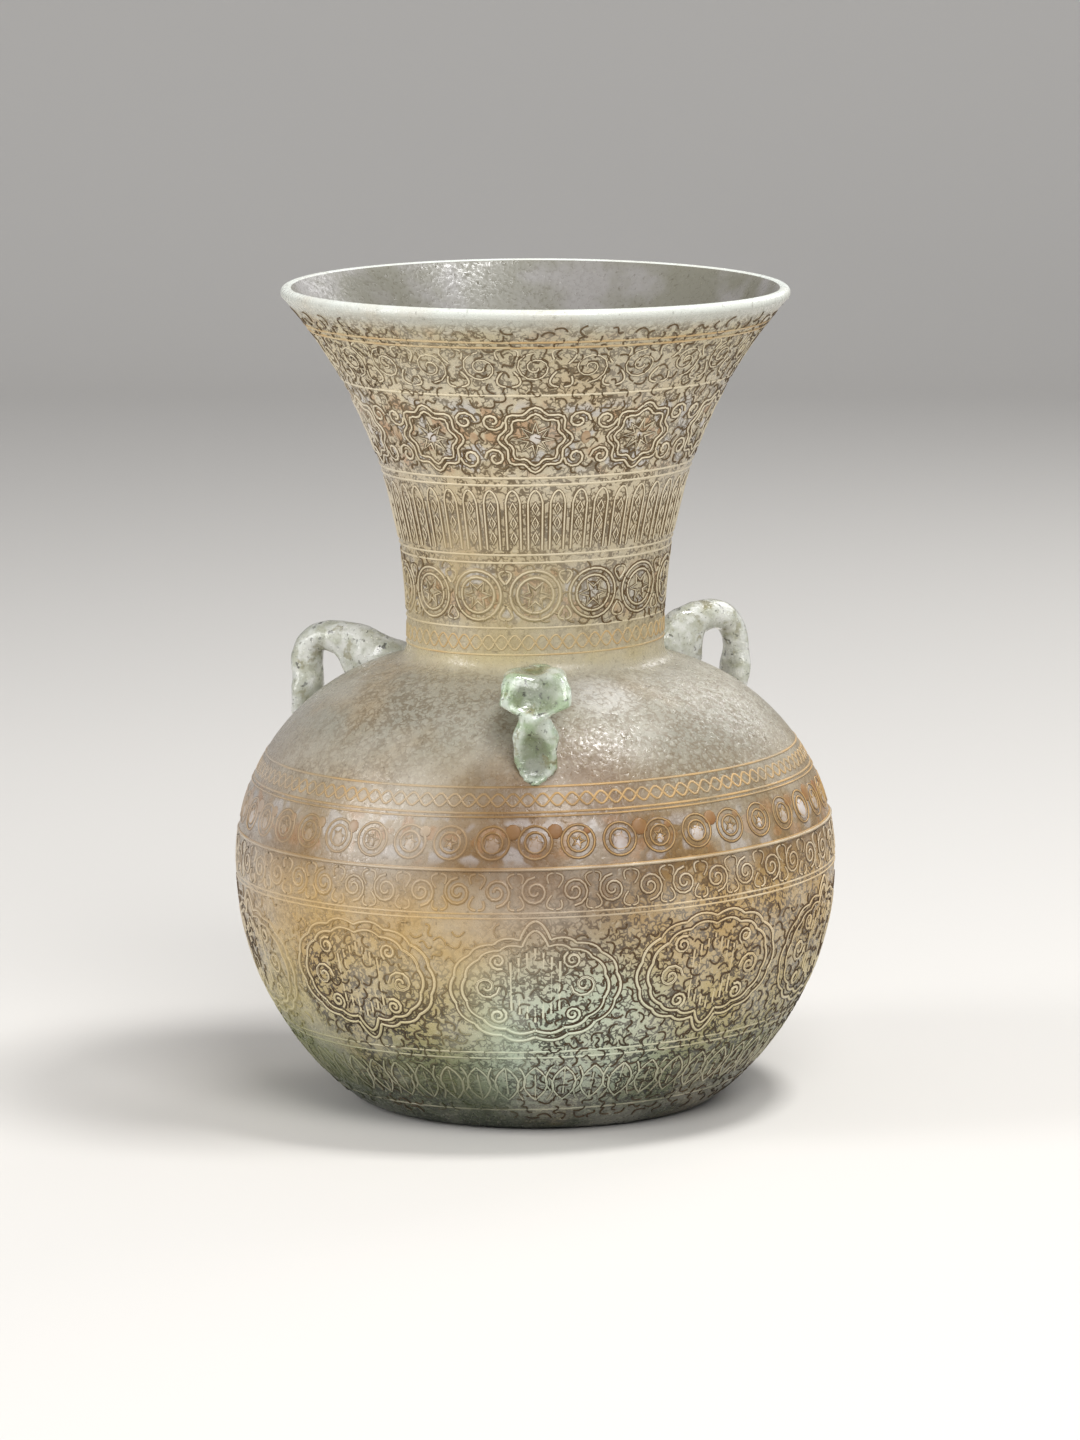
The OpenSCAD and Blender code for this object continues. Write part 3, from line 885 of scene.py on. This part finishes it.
def draw(name, tree, source_mesh, values):
    """Runs a tree on a mesh and shows the result, a plain mesh that is lifted at the back as the lip is."""
    source = bpy.data.objects.new(name + "_tree", source_mesh)
    bpy.context.scene.collection.objects.link(source)
    modifier = source.modifiers.new(name, "NODES")
    modifier.node_group = tree
    for item in tree.interface.items_tree:
        if item.in_out == "INPUT" and item.name in values:
            modifier[item.identifier] = values[item.name]
    graph = bpy.context.evaluated_depsgraph_get()
    mesh = bpy.data.meshes.new_from_object(source.evaluated_get(graph))
    bpy.data.objects.remove(source)
    mesh.name = name
    places = np.zeros(len(mesh.vertices) * 3)
    mesh.vertices.foreach_get("co", places)
    mesh.vertices.foreach_set("co", blown(places.reshape(-1, 3)).ravel())
    mesh.update()
    show(name, mesh, "lamp")


print("drawings take", sorted(drawing_sizes))

# %% [markdown]
# ## Motifs
# Each motif is a few curve primitives, sized in millimetres and centred on its own middle: spirals with a
# leaf for the scrolls, rings with a star for the roundels, bars and lozenges under a small arch for the
# arcade, a pointed frame of scallops for the cartouches. Each is simple, because it is repeated often.

# %% Strokes
def circle(tree, radius, steps=18):
    inputs = {"Resolution": steps, "Radius": radius * MM}
    return add(tree, "GeometryNodeCurvePrimitiveCircle", inputs).outputs[0]


def spiral(tree, turns, start, end, steps=10):
    inputs = {
        "Resolution": steps, "Rotations": turns, "Start Radius": start * MM, "End Radius": end * MM,
        "Height": 0.0,
    }
    return add(tree, "GeometryNodeCurveSpiral", inputs).outputs[0]


def star(tree, points, inner, outer):
    inputs = {"Points": points, "Inner Radius": inner * MM, "Outer Radius": outer * MM}
    return add(tree, "GeometryNodeCurveStar", inputs).outputs[0]


def spots(points, size=1.0):
    """Flat points in mm, made larger by a size, as places in the tree."""
    return [tuple(v * size * MM for v in p) + (0.0,) for p in points]


def bow(tree, points, size=1.0, steps=7):
    """A bent stroke from the first point to the last, pulled towards the one between."""
    start, middle, end = spots(points, size)
    inputs = {"Resolution": steps, "Start": start, "Middle": middle, "End": end}
    return add(tree, "GeometryNodeCurveQuadraticBezier", inputs).outputs[0]


def bar(tree, points):
    start, end = spots(points)
    return add(tree, "GeometryNodeCurvePrimitiveLine", {"Start": start, "End": end}).outputs[0]


def moved(tree, part, x=0.0, y=0.0, turn=0.0, scale=(1.0, 1.0)):
    inputs = {
        "Geometry": part, "Translation": (x * MM, y * MM, 0.0),
        "Rotation": (0.0, 0.0, math.radians(turn)), "Scale": (scale[0], scale[1], 1.0),
    }
    return add(tree, "GeometryNodeTransform", inputs).outputs[0]


def lobed(tree, reach, lobes, depth, steps):
    """A ring whose edge swells in lobes. It starts one metre in radius, so that its places are shares."""
    ring = circle(tree, 1 / MM, steps)
    place = split(tree, here(tree))
    turn = maths(tree, "ARCTAN2", place[0], place[1])
    swell = plus(tree, times(tree, maths(tree, "COSINE", times(tree, turn, float(lobes))), depth), 1.0)
    x = times(tree, place[0], swell, reach * MM)
    y = times(tree, place[1], swell, reach * MM)
    return set_place(tree, ring, Position=join(tree, x, y))


print("strokes ready")


# %% Motif curves
def scroll_motif(tree, reach):
    """A spiral of a scrolling stem, with a leaf in each corner."""
    parts = [spiral(tree, 1.75, reach * 0.12, reach * 0.82, 12)]
    for side in (-1, 1):
        parts.append(bow(tree, [(side, -1), (side * 0.3, -0.9), (side * 0.9, -0.2)], reach))
        parts.append(bow(tree, [(side, 1), (side * 0.5, 1), (side * 0.75, 0.45)], reach))
    return gather(tree, parts)


def roundel_motif(tree, reach):
    """Two rings round a star, with a hook in each corner."""
    parts = [circle(tree, reach, 24), circle(tree, reach * 0.72, 20)]
    parts.append(star(tree, 6, reach * 0.25, reach * 0.6))
    for side in (-1, 1):
        for end in (-1, 1):
            hook = [(side * 1.15, end), (side * 0.7, end * 0.95), (side * 1.15, end * 0.45)]
            parts.append(bow(tree, hook, reach))
    return gather(tree, parts)


def medallion_motif(tree, reach):
    """Two lobed rings round a star, with a curl in each corner."""
    parts = [lobed(tree, reach, 8, 0.10, 48), lobed(tree, reach * 0.8, 8, 0.10, 40)]
    parts.append(star(tree, 8, reach * 0.22, reach * 0.55))
    for side in (-1, 1):
        for end in (-1, 1):
            curl = spiral(tree, 1.25, reach * 0.08, reach * 0.34, 10)
            parts.append(moved(tree, curl, side * reach * 1.22, end * reach * 0.62, 90 * end, (side, 1)))
    return gather(tree, parts)


def arcade_motif(tree, tall):
    """Two bars that meet in a small arch, over three lozenges."""
    half = tall / 2
    parts = [bar(tree, [(side * 2.3, -half), (side * 2.3, half * 0.55)]) for side in (-1, 1)]
    for side in (-1, 1):
        parts.append(bow(tree, [(side * 2.3, half * 0.55), (side * 1.6, half * 0.95), (0, half)]))
    for step in (-0.62, -0.12, 0.38):
        parts.append(moved(tree, circle(tree, 1.0, 4), 0, step * half, 0, (1.0, half * 0.2)))
    return gather(tree, parts)


cartouche_edge = [
    (0, 1.0), (0.17, 0.72), (0.46, 0.66), (0.74, 0.5), (0.93, 0.16), (0.93, -0.28), (0.72, -0.62),
    (0.4, -0.82), (0, -0.86),
]
cartouche_curls = ((0.56, 0.0, 4.4, 0), (0.44, -0.48, 3.0, 60), (0.42, 0.40, 3.0, -60))


def cartouche_motif(tree, half_w, half_h):
    """A pointed frame of scallops with a second line inside it, bars in its middle and curls beside them."""
    parts = []
    for side in (-1, 1):
        for shrink in (1.0, 0.86):
            corners = [Vector((side * x * half_w, y * half_h)) * shrink for x, y in cartouche_edge]
            for a, b in zip(corners, corners[1:]):
                middle = (a + b) / 2
                pull = middle + middle.normalized() * (b - a).length * 0.34
                parts.append(bow(tree, [a, pull, b], steps=6))
        for x, y, reach, turn in cartouche_curls:
            curl = spiral(tree, 1.5, 0.7, reach, 10)
            parts.append(moved(tree, curl, side * half_w * x, half_h * y, turn, (side, 1)))
    for step in range(-3, 4):
        tall = half_h * (0.60 - 0.07 * abs(step))
        parts.append(bar(tree, [(step * 2.6, -tall), (step * 2.6, tall)]))
    return gather(tree, parts)


def leaf_motif(tree, tall):
    """A leaf with a stem, between two bent edges."""
    half = tall / 2
    parts = [bar(tree, [(0, -half), (0, half * 0.6)])]
    for side in (-1, 1):
        parts.append(bow(tree, [(0, -1), (side * 0.95, 0), (0, 1)], half))
        parts.append(bow(tree, [(side * 0.62, 1), (side * 0.2, 0.2), (side * 0.62, -0.4)], half))
    return gather(tree, parts)


def ring_motif(tree, reach):
    """Two rings round a small star."""
    parts = [circle(tree, reach, 20), circle(tree, reach * 0.62, 14)]
    parts.append(star(tree, 5, reach * 0.15, reach * 0.4))
    return gather(tree, parts)


print("motifs ready")

# %% [markdown]
# ## Bands
# The bands follow the real lamp from lip to foot. Each is one tree: a row of points round the lamp, the
# motif on each point, and any plain or waving lines that go with it. The painter's bands lean a little,
# so the tree has a tilt. Lines are sunk a little into the glass, as low raised paint is. Pale strokes have
# brown edges: a wide brown stroke of the same motif lies deeper, and shows on both sides of the pale one.

# %% A band
line_r = 0.5 * MM
edge_thick = 3.0
edge_sink = 0.76
line_steps = 180
wave_steps = 10


def waving(tree, sizes, y, swing, waves, phase, samples):
    """One line round the lamp, straight or waving."""
    end = join(tree, times(tree, sizes["Turn radius"], math.tau))
    line = add(tree, "GeometryNodeCurvePrimitiveLine", {"Start": (0.0, 0.0, 0.0), "End": end}).outputs[0]
    points = add(tree, "GeometryNodeResampleCurve", {"Curve": line, "Count": samples}).outputs[0]
    angle = maths(tree, "DIVIDE", split(tree, here(tree))[0], sizes["Turn radius"])
    turn = plus(tree, times(tree, angle, float(waves)), phase)
    up = plus(tree, times(tree, maths(tree, "SINE", turn), swing), y)
    return set_place(tree, points, Offset=join(tree, 0.0, up))


def row_of(tree, sizes, motif, flip, least=1.0, most=1.0):
    """The motif on a row of points round the lamp, of uneven size, every second one turned over if asked."""
    pitch = maths(tree, "DIVIDE", times(tree, sizes["Turn radius"], math.tau), sizes["Count"])
    inputs = {
        "Count": sizes["Count"], "Start Location": join(tree, 0.0, sizes["Middle"]),
        "Offset": join(tree, pitch),
    }
    row = add(tree, "GeometryNodeMeshLine", inputs).outputs[0]
    odd = maths(tree, "MODULO", add(tree, "GeometryNodeInputIndex").outputs[0], 2.0)
    euler = join(tree, 0.0, 0.0, times(tree, odd, math.pi if flip else 0.0))
    rotation = add(tree, "FunctionNodeEulerToRotation", {0: euler}).outputs[0]
    size = random_value(tree, least, most, 4)
    inputs = {"Points": row, "Instance": motif, "Rotation": rotation, "Scale": size}
    placed = add(tree, "GeometryNodeInstanceOnPoints", inputs).outputs[0]
    return add(tree, "GeometryNodeRealizeInstances", {"Geometry": placed}).outputs[0]


def band_values(zone, z, count, tilt):
    return {
        "Count": count, "Turn radius": girth(zone, z * MM), "Middle": way_up(zone, z * MM),
        "Tilt": tilt * MM,
    }


def band(name, material, z, tilt, motif=None, count=1, flip=False, lines=(), waves=(), thick=1.0, sink=0.4,
         sides=4):
    """A band at height z: a row of motifs, lines at heights, and (height, swing, number, phase) waves."""
    zone = zone_at(z * MM)
    tree, sizes = flat_tree(name)
    parts = []
    if motif:
        parts.append(row_of(tree, sizes, motif(tree), flip))
    for height in lines:
        parts.append(waving(tree, sizes, way_up(zone, height * MM), 0.0, 1, 0.0, line_steps))
    for height, swing, number, phase in waves:
        y = way_up(zone, height * MM)
        parts.append(waving(tree, sizes, y, swing * MM, number, phase, number * wave_steps))
    curves = lay_on_lamp(tree, sizes, zone, gather(tree, parts))
    paint(tree, thicken(tree, sizes, curves, sides), material)
    values = band_values(zone, z, count, tilt)
    values["Line radius"] = line_r * thick
    values["Sink"] = line_r * thick * sink
    draw(name, tree, bpy.data.meshes.new(name + "_start"), values)


def edged_band(name, z, tilt, motif, count, flip=False, thick=1.0):
    """A band of pale strokes with a brown line along both sides of each."""
    wide = edge_thick * thick
    band(name + "_edges", brown_line, z, tilt, motif, count, flip, thick=wide, sink=edge_sink, sides=6)
    band(name, pale_line, z, tilt, motif, count, flip, thick=thick, sink=0.0)


def dabs(name, material, z, tilt, count, reach, tall, shift=0.0, flat=0.14):
    """A row of low dabs of enamel round the lamp, shifted along the row by a share of its pitch."""
    zone = zone_at(z * MM)
    tree, sizes = flat_tree(name)
    inputs = {"Segments": 10, "Rings": 6, "Radius": reach * MM}
    ball = add(tree, "GeometryNodeMeshUVSphere", inputs).outputs[0]
    pitch = math.tau * girth(zone, z * MM) / count
    inputs = {"Geometry": ball, "Translation": (shift * pitch, 0.0, 0.0), "Scale": (1.0, tall, flat)}
    drop = add(tree, "GeometryNodeTransform", inputs).outputs[0]
    row = row_of(tree, sizes, drop, False, least=0.35, most=1.15)
    paint(tree, lay_on_lamp(tree, sizes, zone, row), material)
    draw(name, tree, bpy.data.meshes.new(name + "_start"), band_values(zone, z, count, tilt))


def braid(z, swing, number):
    """Two waves that cross each other."""
    return ((z, swing, number, 0.0), (z, swing, number, math.pi))


print("lines are", 2 * line_r / MM, "mm thick")

# %% Bands of the neck
neck_tilt = 1.1
band("neck_border", gold_line, 258.0, neck_tilt, lines=(257.2, 259.0), sink=-0.3)
edged_band("neck_scroll", 250.2, neck_tilt, lambda t: scroll_motif(t, 7.8), 25, flip=True, thick=0.8)
band("neck_lines", pale_line, 239, neck_tilt, lines=(240.6, 212.6, 210.2, 186.8, 184.2, 162.6), thick=1.2)
edged_band("neck_medallions", 225.8, neck_tilt, lambda t: medallion_motif(t, 11.0), 10)
dabs("medallion_hearts", white_dab, 225.8, neck_tilt, 10, reach=2.2, tall=1.0)
dabs("medallion_gaps", orange_dab, 226.0, neck_tilt, 10, reach=1.8, tall=1.5, shift=0.5)
edged_band("neck_arcade", 198.6, neck_tilt, lambda t: arcade_motif(t, 20.5), 42, thick=0.8)
edged_band("neck_roundels", 173.4, neck_tilt, lambda t: roundel_motif(t, 8.2), 14, thick=0.9)
band("neck_braid", gold_line, 157.8, neck_tilt, lines=(153.8,), waves=braid(157.8, 2.4, 30))

# %% Bands of the bulb
bulb_tilt = 2.6
band("shoulder_braid", gold_line, 114.2, bulb_tilt, lines=(110.4, 118.0), waves=braid(114.2, 2.2, 60))
band("frieze_edges", brown_line, 101.4, bulb_tilt, lambda t: ring_motif(t, 5.4), 44,
     thick=1.8, sink=0.74, sides=6)
band("frieze_rings", gold_line, 101.4, bulb_tilt, lambda t: ring_motif(t, 5.4), 44, lines=(93.4, 109.2),
     thick=0.7, sink=0.0)
dabs("frieze_hearts", white_dab, 100.4, bulb_tilt, 44, reach=2.6, tall=1.2)
dabs("frieze_drops", orange_dab, 104.6, bulb_tilt, 44, reach=2.8, tall=1.0, shift=0.5)
edged_band("belly_scroll", 86.0, bulb_tilt, lambda t: scroll_motif(t, 5.8), 50, flip=True, thick=0.8)
band("belly_lines", pale_line, 78.6, bulb_tilt, lines=(77.6, 79.2, 93.0))
edged_band("cartouches", 55.0, bulb_tilt, lambda t: cartouche_motif(t, 28.0, 22.0), 10,
           flip=True, thick=1.15)
band("foot_lines", pale_line, 30.5, bulb_tilt, lines=(9.0, 29.4, 31.6))
edged_band("foot_leaves", 19.4, bulb_tilt, lambda t: leaf_motif(t, 16.0), 54, flip=True, thick=0.8)

# %% [markdown]
# ## Curls that fill the ground
# Between the motifs the real ground is packed with small curls and hooks, almost like a maze. Here points
# are spread over the glass at an even spacing, each gets one of four small strokes at a chance angle, and
# fewer points are kept where the painting has worn away. The seed is fixed, so every run draws the same.

# %% Curls
curl_thick = 0.75


def curl_strokes(tree):
    """Four small strokes, each an instance that a point can pick."""
    rise = bow(tree, [(-2.2, 0.2), (-1.0, 1.9), (0, 0)], steps=4)
    fall = bow(tree, [(0, 0), (1.0, -1.9), (2.2, -0.2)], steps=4)
    strokes = [
        bow(tree, [(-2.4, 0.9), (0.6, -2.8), (2.2, 1.2)], steps=6),
        bow(tree, [(-2.1, -0.8), (0.3, 2.6), (2.1, -0.6)], steps=6),
        gather(tree, [rise, fall]),
        bow(tree, [(-1.7, 1.3), (1.9, 1.4), (1.4, -1.7)], steps=6),
    ]
    return gather(tree, [add(tree, "GeometryNodeGeometryToInstance", {0: s}).outputs[0] for s in strokes])


def curls_tree(name, seed, spacing):
    tree, sizes = flat_tree(name)
    side = times(tree, split(tree, here(tree))[0], wear_side)
    kept = plus(tree, cloud(tree, here(tree), wear_scale)[0], side)
    inputs = {
        "Mesh": sizes["Geometry"], "Distance Min": spacing * MM, "Density Max": 200000.0,
        "Density Factor": span(tree, kept, 0.30, 0.50, 0.45, 1.0), "Seed": seed,
    }
    points = add(tree, "GeometryNodeDistributePointsOnFaces", inputs, distribute_method="POISSON").outputs
    chance = random_value(tree, 0.0, math.tau, seed)
    spin = add(tree, "FunctionNodeEulerToRotation", {0: join(tree, 0.0, 0.0, chance)}).outputs[0]
    inputs = {0: points["Rotation"], 1: spin}
    spun = add(tree, "FunctionNodeRotateRotation", inputs, rotation_space="LOCAL").outputs[0]
    inputs = {
        "Points": points["Points"], "Instance": curl_strokes(tree), "Pick Instance": True, "Rotation": spun,
    }
    placed = add(tree, "GeometryNodeInstanceOnPoints", inputs).outputs[0]
    real = add(tree, "GeometryNodeRealizeInstances", {"Geometry": placed}).outputs[0]
    paint(tree, thicken(tree, sizes, real), brown_line)
    return tree


def curls(name, low, high, spacing, seed):
    """Curls on the outer face of the vessel between two heights."""
    outline = [(p.x, p.y) for p in outer_side if low * MM <= p.y <= high * MM]
    ground = turned(name + "_ground", outline, turn_steps // 2)
    draw(name, curls_tree(name, seed, spacing), ground, {"Line radius": line_r * curl_thick})


curls("curls_foot", 5, 36, spacing=4.0, seed=3)
curls("curls_belly", 34, 76, spacing=4.0, seed=5)
curls("curls_neck_low", 164, 183, spacing=4.2, seed=11)
curls("curls_neck_high", 213, 264, spacing=4.2, seed=13)

# %% [markdown]
# ## The oil cup, the wick and its holder
# Inside stands a clear little beaker for oil. A strip of brass with three arms lies across its rim and
# hooks over it, and holds a tube for the twisted cotton wick. They can be seen only from above, so they
# are made simply but truly: turned outlines for the round ones, bars with softened edges for the arms.

# %% Inner materials
def make_cup_glass():
    material, tree, shader = new_material("cup_glass", Transmission_Weight=0.85, IOR=1.5)
    weather(tree, shader, srgb(214, 228, 220), srgb(230, 234, 226), srgb(150, 140, 104), film_amount=0.3,
            pit_amount=0.25, scale=40.0, bump=0.15)
    return material


def make_brass():
    material, tree, shader = new_material("aged_brass", Metallic=1.0)
    weather(tree, shader, srgb(184, 148, 82), srgb(140, 108, 58), srgb(60, 48, 30), film_amount=0.7,
            pit_amount=0.5, scale=120.0, bump=0.2)
    return material


def make_cotton(char_from, char_to):
    """Cotton that is burnt black between two heights and above them."""
    material, tree, shader = new_material("cotton_wick", Sheen_Weight=0.3, Roughness=0.9)
    burnt = span(tree, split(tree, object_place(tree))[2], char_from, char_to)
    cotton = blend_colours(tree, speckle(tree, 900.0), srgb(226, 214, 188), srgb(196, 180, 146))
    tree.links.new(blend_colours(tree, burnt, cotton, srgb(44, 36, 30)), shader.inputs["Base Color"])
    raise_bump(tree, shader, speckle(tree, 2500.0), 0.6, 0.2 * MM)
    return material


cup_glass = make_cup_glass()
brass = make_brass()
wick_low, wick_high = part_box("wick")
char_start = 4 * MM
char_full = 1 * MM
cotton = make_cotton(wick_high.z - char_start, wick_high.z - char_full)
print("wick from", round(wick_low.z / MM, 1), "to", round(wick_high.z / MM, 1), "mm")

# %% Oil cup
cup_low, cup_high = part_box("oil_cup")
cup_wall = 2.2 * MM
cup_r = cup_high.x
cup_base_r = 23 * MM
foot_in_r = 22.7 * MM
foot_ring_t = 4 * MM
foot_gap = 1.5 * MM
foot_r = foot_in_r + foot_ring_t
foot_roof = floor_t + kick_h + foot_gap
cup_base_z = foot_roof + cup_wall
cup_floor = cup_base_z + cup_wall
cup_rim = Vector((cup_r - cup_wall / 2, cup_high.z - cup_wall / 2))
soft = 0.6 * MM
sharp_turn = math.radians(35)
cup_points = [Vector((0, foot_roof)), Vector((foot_in_r, foot_roof)), Vector((foot_in_r, cup_low.z))]
cup_points += arc(Vector((foot_r - soft, cup_low.z + soft)), soft, -math.pi / 2, 0, 4)
cup_points += [Vector((foot_r, (cup_low.z + cup_base_z) / 2)), Vector((cup_base_r, cup_base_z))]
cup_points += arc(cup_rim, cup_wall / 2, 0, math.pi, 10)
cup_points += [Vector((cup_base_r - cup_wall, cup_floor)), Vector((0, cup_floor))]
cup_mesh = turned("oil_beaker", [tuple(p) for p in cup_points], 96)
cup_mesh.set_sharp_from_angle(angle=sharp_turn)
show("oil_beaker", cup_mesh, "cup", ["oil_cup"], [cup_glass])

# %% Wick holder
holder_low, holder_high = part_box("wick_spider")
strip_t = 1.2 * MM
strip_z = holder_high.z - strip_t
arm_w = 4 * MM
hub_r = 5.5 * MM
tube_r = 2.5 * MM
arm_end = -holder_low.x
hook_low = holder_low.z
arm_overlap = 0.6 * MM
hook_overlap = 0.2 * MM
arm_count = 3
box_faces = [(0, 1, 3, 2), (4, 6, 7, 5), (0, 4, 5, 1), (2, 3, 7, 6), (0, 2, 6, 4), (1, 5, 7, 3)]


def box_points(low, high):
    xs, ys, zs = zip(low, high)
    return [Vector((x, y, z)) for x in xs for y in ys for z in zs]


def holder_mesh():
    """The hub ring, and the arms with their hooks, turned about the axis."""
    strip_top = strip_z + strip_t
    hub = [(tube_r, strip_z), (hub_r, strip_z), (hub_r, strip_top), (tube_r, strip_top), (tube_r, strip_z)]
    ring = turned("hub", hub, 48)
    points = [v.co.copy() for v in ring.vertices]
    faces = [tuple(p.vertices) for p in ring.polygons]
    half_w = arm_w / 2
    arm = box_points((hub_r - arm_overlap, -half_w, strip_z), (arm_end, half_w, strip_top))
    hook_top = strip_z + hook_overlap
    hook = box_points((arm_end - strip_t, -half_w, hook_low), (arm_end, half_w, hook_top))
    for i in range(arm_count):
        turn = Matrix.Rotation(math.pi + math.tau * i / arm_count, 3, "Z")
        for solid in (arm, hook):
            first = len(points)
            points += [turn @ p for p in solid]
            faces += [tuple(first + c for c in face) for face in box_faces]
    return solid_mesh("wick_holder", points, faces, smooth=False)


holder = show("wick_holder", holder_mesh(), "holder", ["wick_spider"], [brass])
edge = holder.modifiers.new("soft_edges", "BEVEL")
edge.width = 0.25 * MM
edge.segments = 2

# %% Wick tube
tube_low, tube_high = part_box("wick_tube")
bore_r = 1.6 * MM
collar_r = tube_high.x
collar_h = 1.5 * MM
collar_top = holder_high.z + collar_h
lip_t = (tube_r - bore_r) / 2
tube_points = [
    Vector((bore_r, tube_low.z)), Vector((tube_r, tube_low.z)), Vector((tube_r, holder_high.z)),
    Vector((collar_r, holder_high.z)), Vector((collar_r, collar_top)), Vector((tube_r, collar_top)),
]
tube_points += arc(Vector((bore_r + lip_t, tube_high.z - lip_t)), lip_t, 0, math.pi, 6)
tube_points += [Vector((bore_r, tube_low.z))]
tube_mesh = turned("wick_pipe", [tuple(p) for p in tube_points], 48)
tube_mesh.set_sharp_from_angle(angle=sharp_turn)
show("wick_pipe", tube_mesh, "holder", ["wick_tube"], [brass])

# %% Wick
wick_r = wick_high.x
strands = 3
strand_dip = 0.12
twist_pitch = 9 * MM
wick_steps = 160
rise_step = (wick_high.z - wick_low.z) / wick_steps


def twisted(points):
    """Presses the strands of a twisted cord into a round column."""
    turn = np.arctan2(points[:, 1], points[:, 0])
    phase = strands * (turn - math.tau * points[:, 2] / twist_pitch)
    shrink = 1 - strand_dip + strand_dip * np.abs(np.cos(phase / 2))
    pressed = points.copy()
    pressed[:, :2] *= shrink[:, None]
    return pressed


wick_points = [(0.0, wick_low.z)]
wick_points += [(wick_r, wick_low.z + rise_step * i) for i in range(wick_steps + 1)]
wick_points += [(0.0, wick_high.z)]
wick_mesh = turned("twisted_wick", wick_points, 36, twisted)
show("twisted_wick", wick_mesh, "wick", ["wick"], [cotton])

# %% [markdown]
# ## Floor and light
# A plain pale sweep carries the lamp, so that its shadow shows and nothing else does. A large soft light
# from above and in front shapes the lamp, and a small one overhead gives the bright spot on the shoulder.
# A tall one on the left brightens that edge, and a weak one behind keeps the loops clear of the background.

# %% Floor
def make_floor():
    """A floor that curves up into a wall. Sizes in metres."""
    bend = 0.8
    front = -3.0
    wall_start = 2.2
    back = 3.0
    top = 4.0
    half_width = 4.0
    outline = [Vector((front, 0.0))]
    outline += arc(Vector((wall_start, bend)), bend, -math.pi / 2, 0, 24)
    outline += [Vector((back, top))]
    points = [(x, p.x, p.y) for p in outline for x in (-half_width, half_width)]
    faces = [(2 * i, 2 * i + 1, 2 * i + 3, 2 * i + 2) for i in range(len(outline) - 1)]
    floor = bpy.data.objects.new("floor", solid_mesh("floor", points, faces))
    bpy.context.scene.collection.objects.link(floor)
    material, tree, shader = new_material("floor", Roughness=0.85)
    shader.inputs["Base Color"].default_value = srgb(206, 203, 198)
    floor.data.materials.append(material)
    print("floor", len(faces), "faces")


make_floor()


# %% Light
lamp_middle = Vector((0.0, 0.0, 0.13))
world_colour = (0.92, 0.94, 1.0, 1.0)
world_strength = 0.38


def soft_light(name, place, size, power):
    """A soft rectangle of light that looks at the middle of the lamp."""
    light = bpy.data.lights.new(name, "AREA")
    light.shape = "RECTANGLE"
    light.size, light.size_y = size
    light.energy = power
    holder = bpy.data.objects.new(name, light)
    holder.location = place
    holder.rotation_euler = (lamp_middle - Vector(place)).to_track_quat("-Z", "Y").to_euler()
    bpy.context.scene.collection.objects.link(holder)


soft_light("key", (0.5, -1.6, 1.6), (1.2, 1.2), 34)
soft_light("top", (0.48, -0.1, 1.65), (0.3, 0.3), 18)
soft_light("left", (-1.7, -0.5, 0.8), (0.6, 1.4), 18)
soft_light("behind", (0.9, 1.3, 1.1), (0.8, 0.8), 7)
world = bpy.data.worlds.new("studio")
bpy.context.scene.world = world
world.use_nodes = True
background = world.node_tree.nodes["Background"]
background.inputs[0].default_value = world_colour
background.inputs[1].default_value = world_strength
bpy.context.scene.view_settings.view_transform = "Standard"
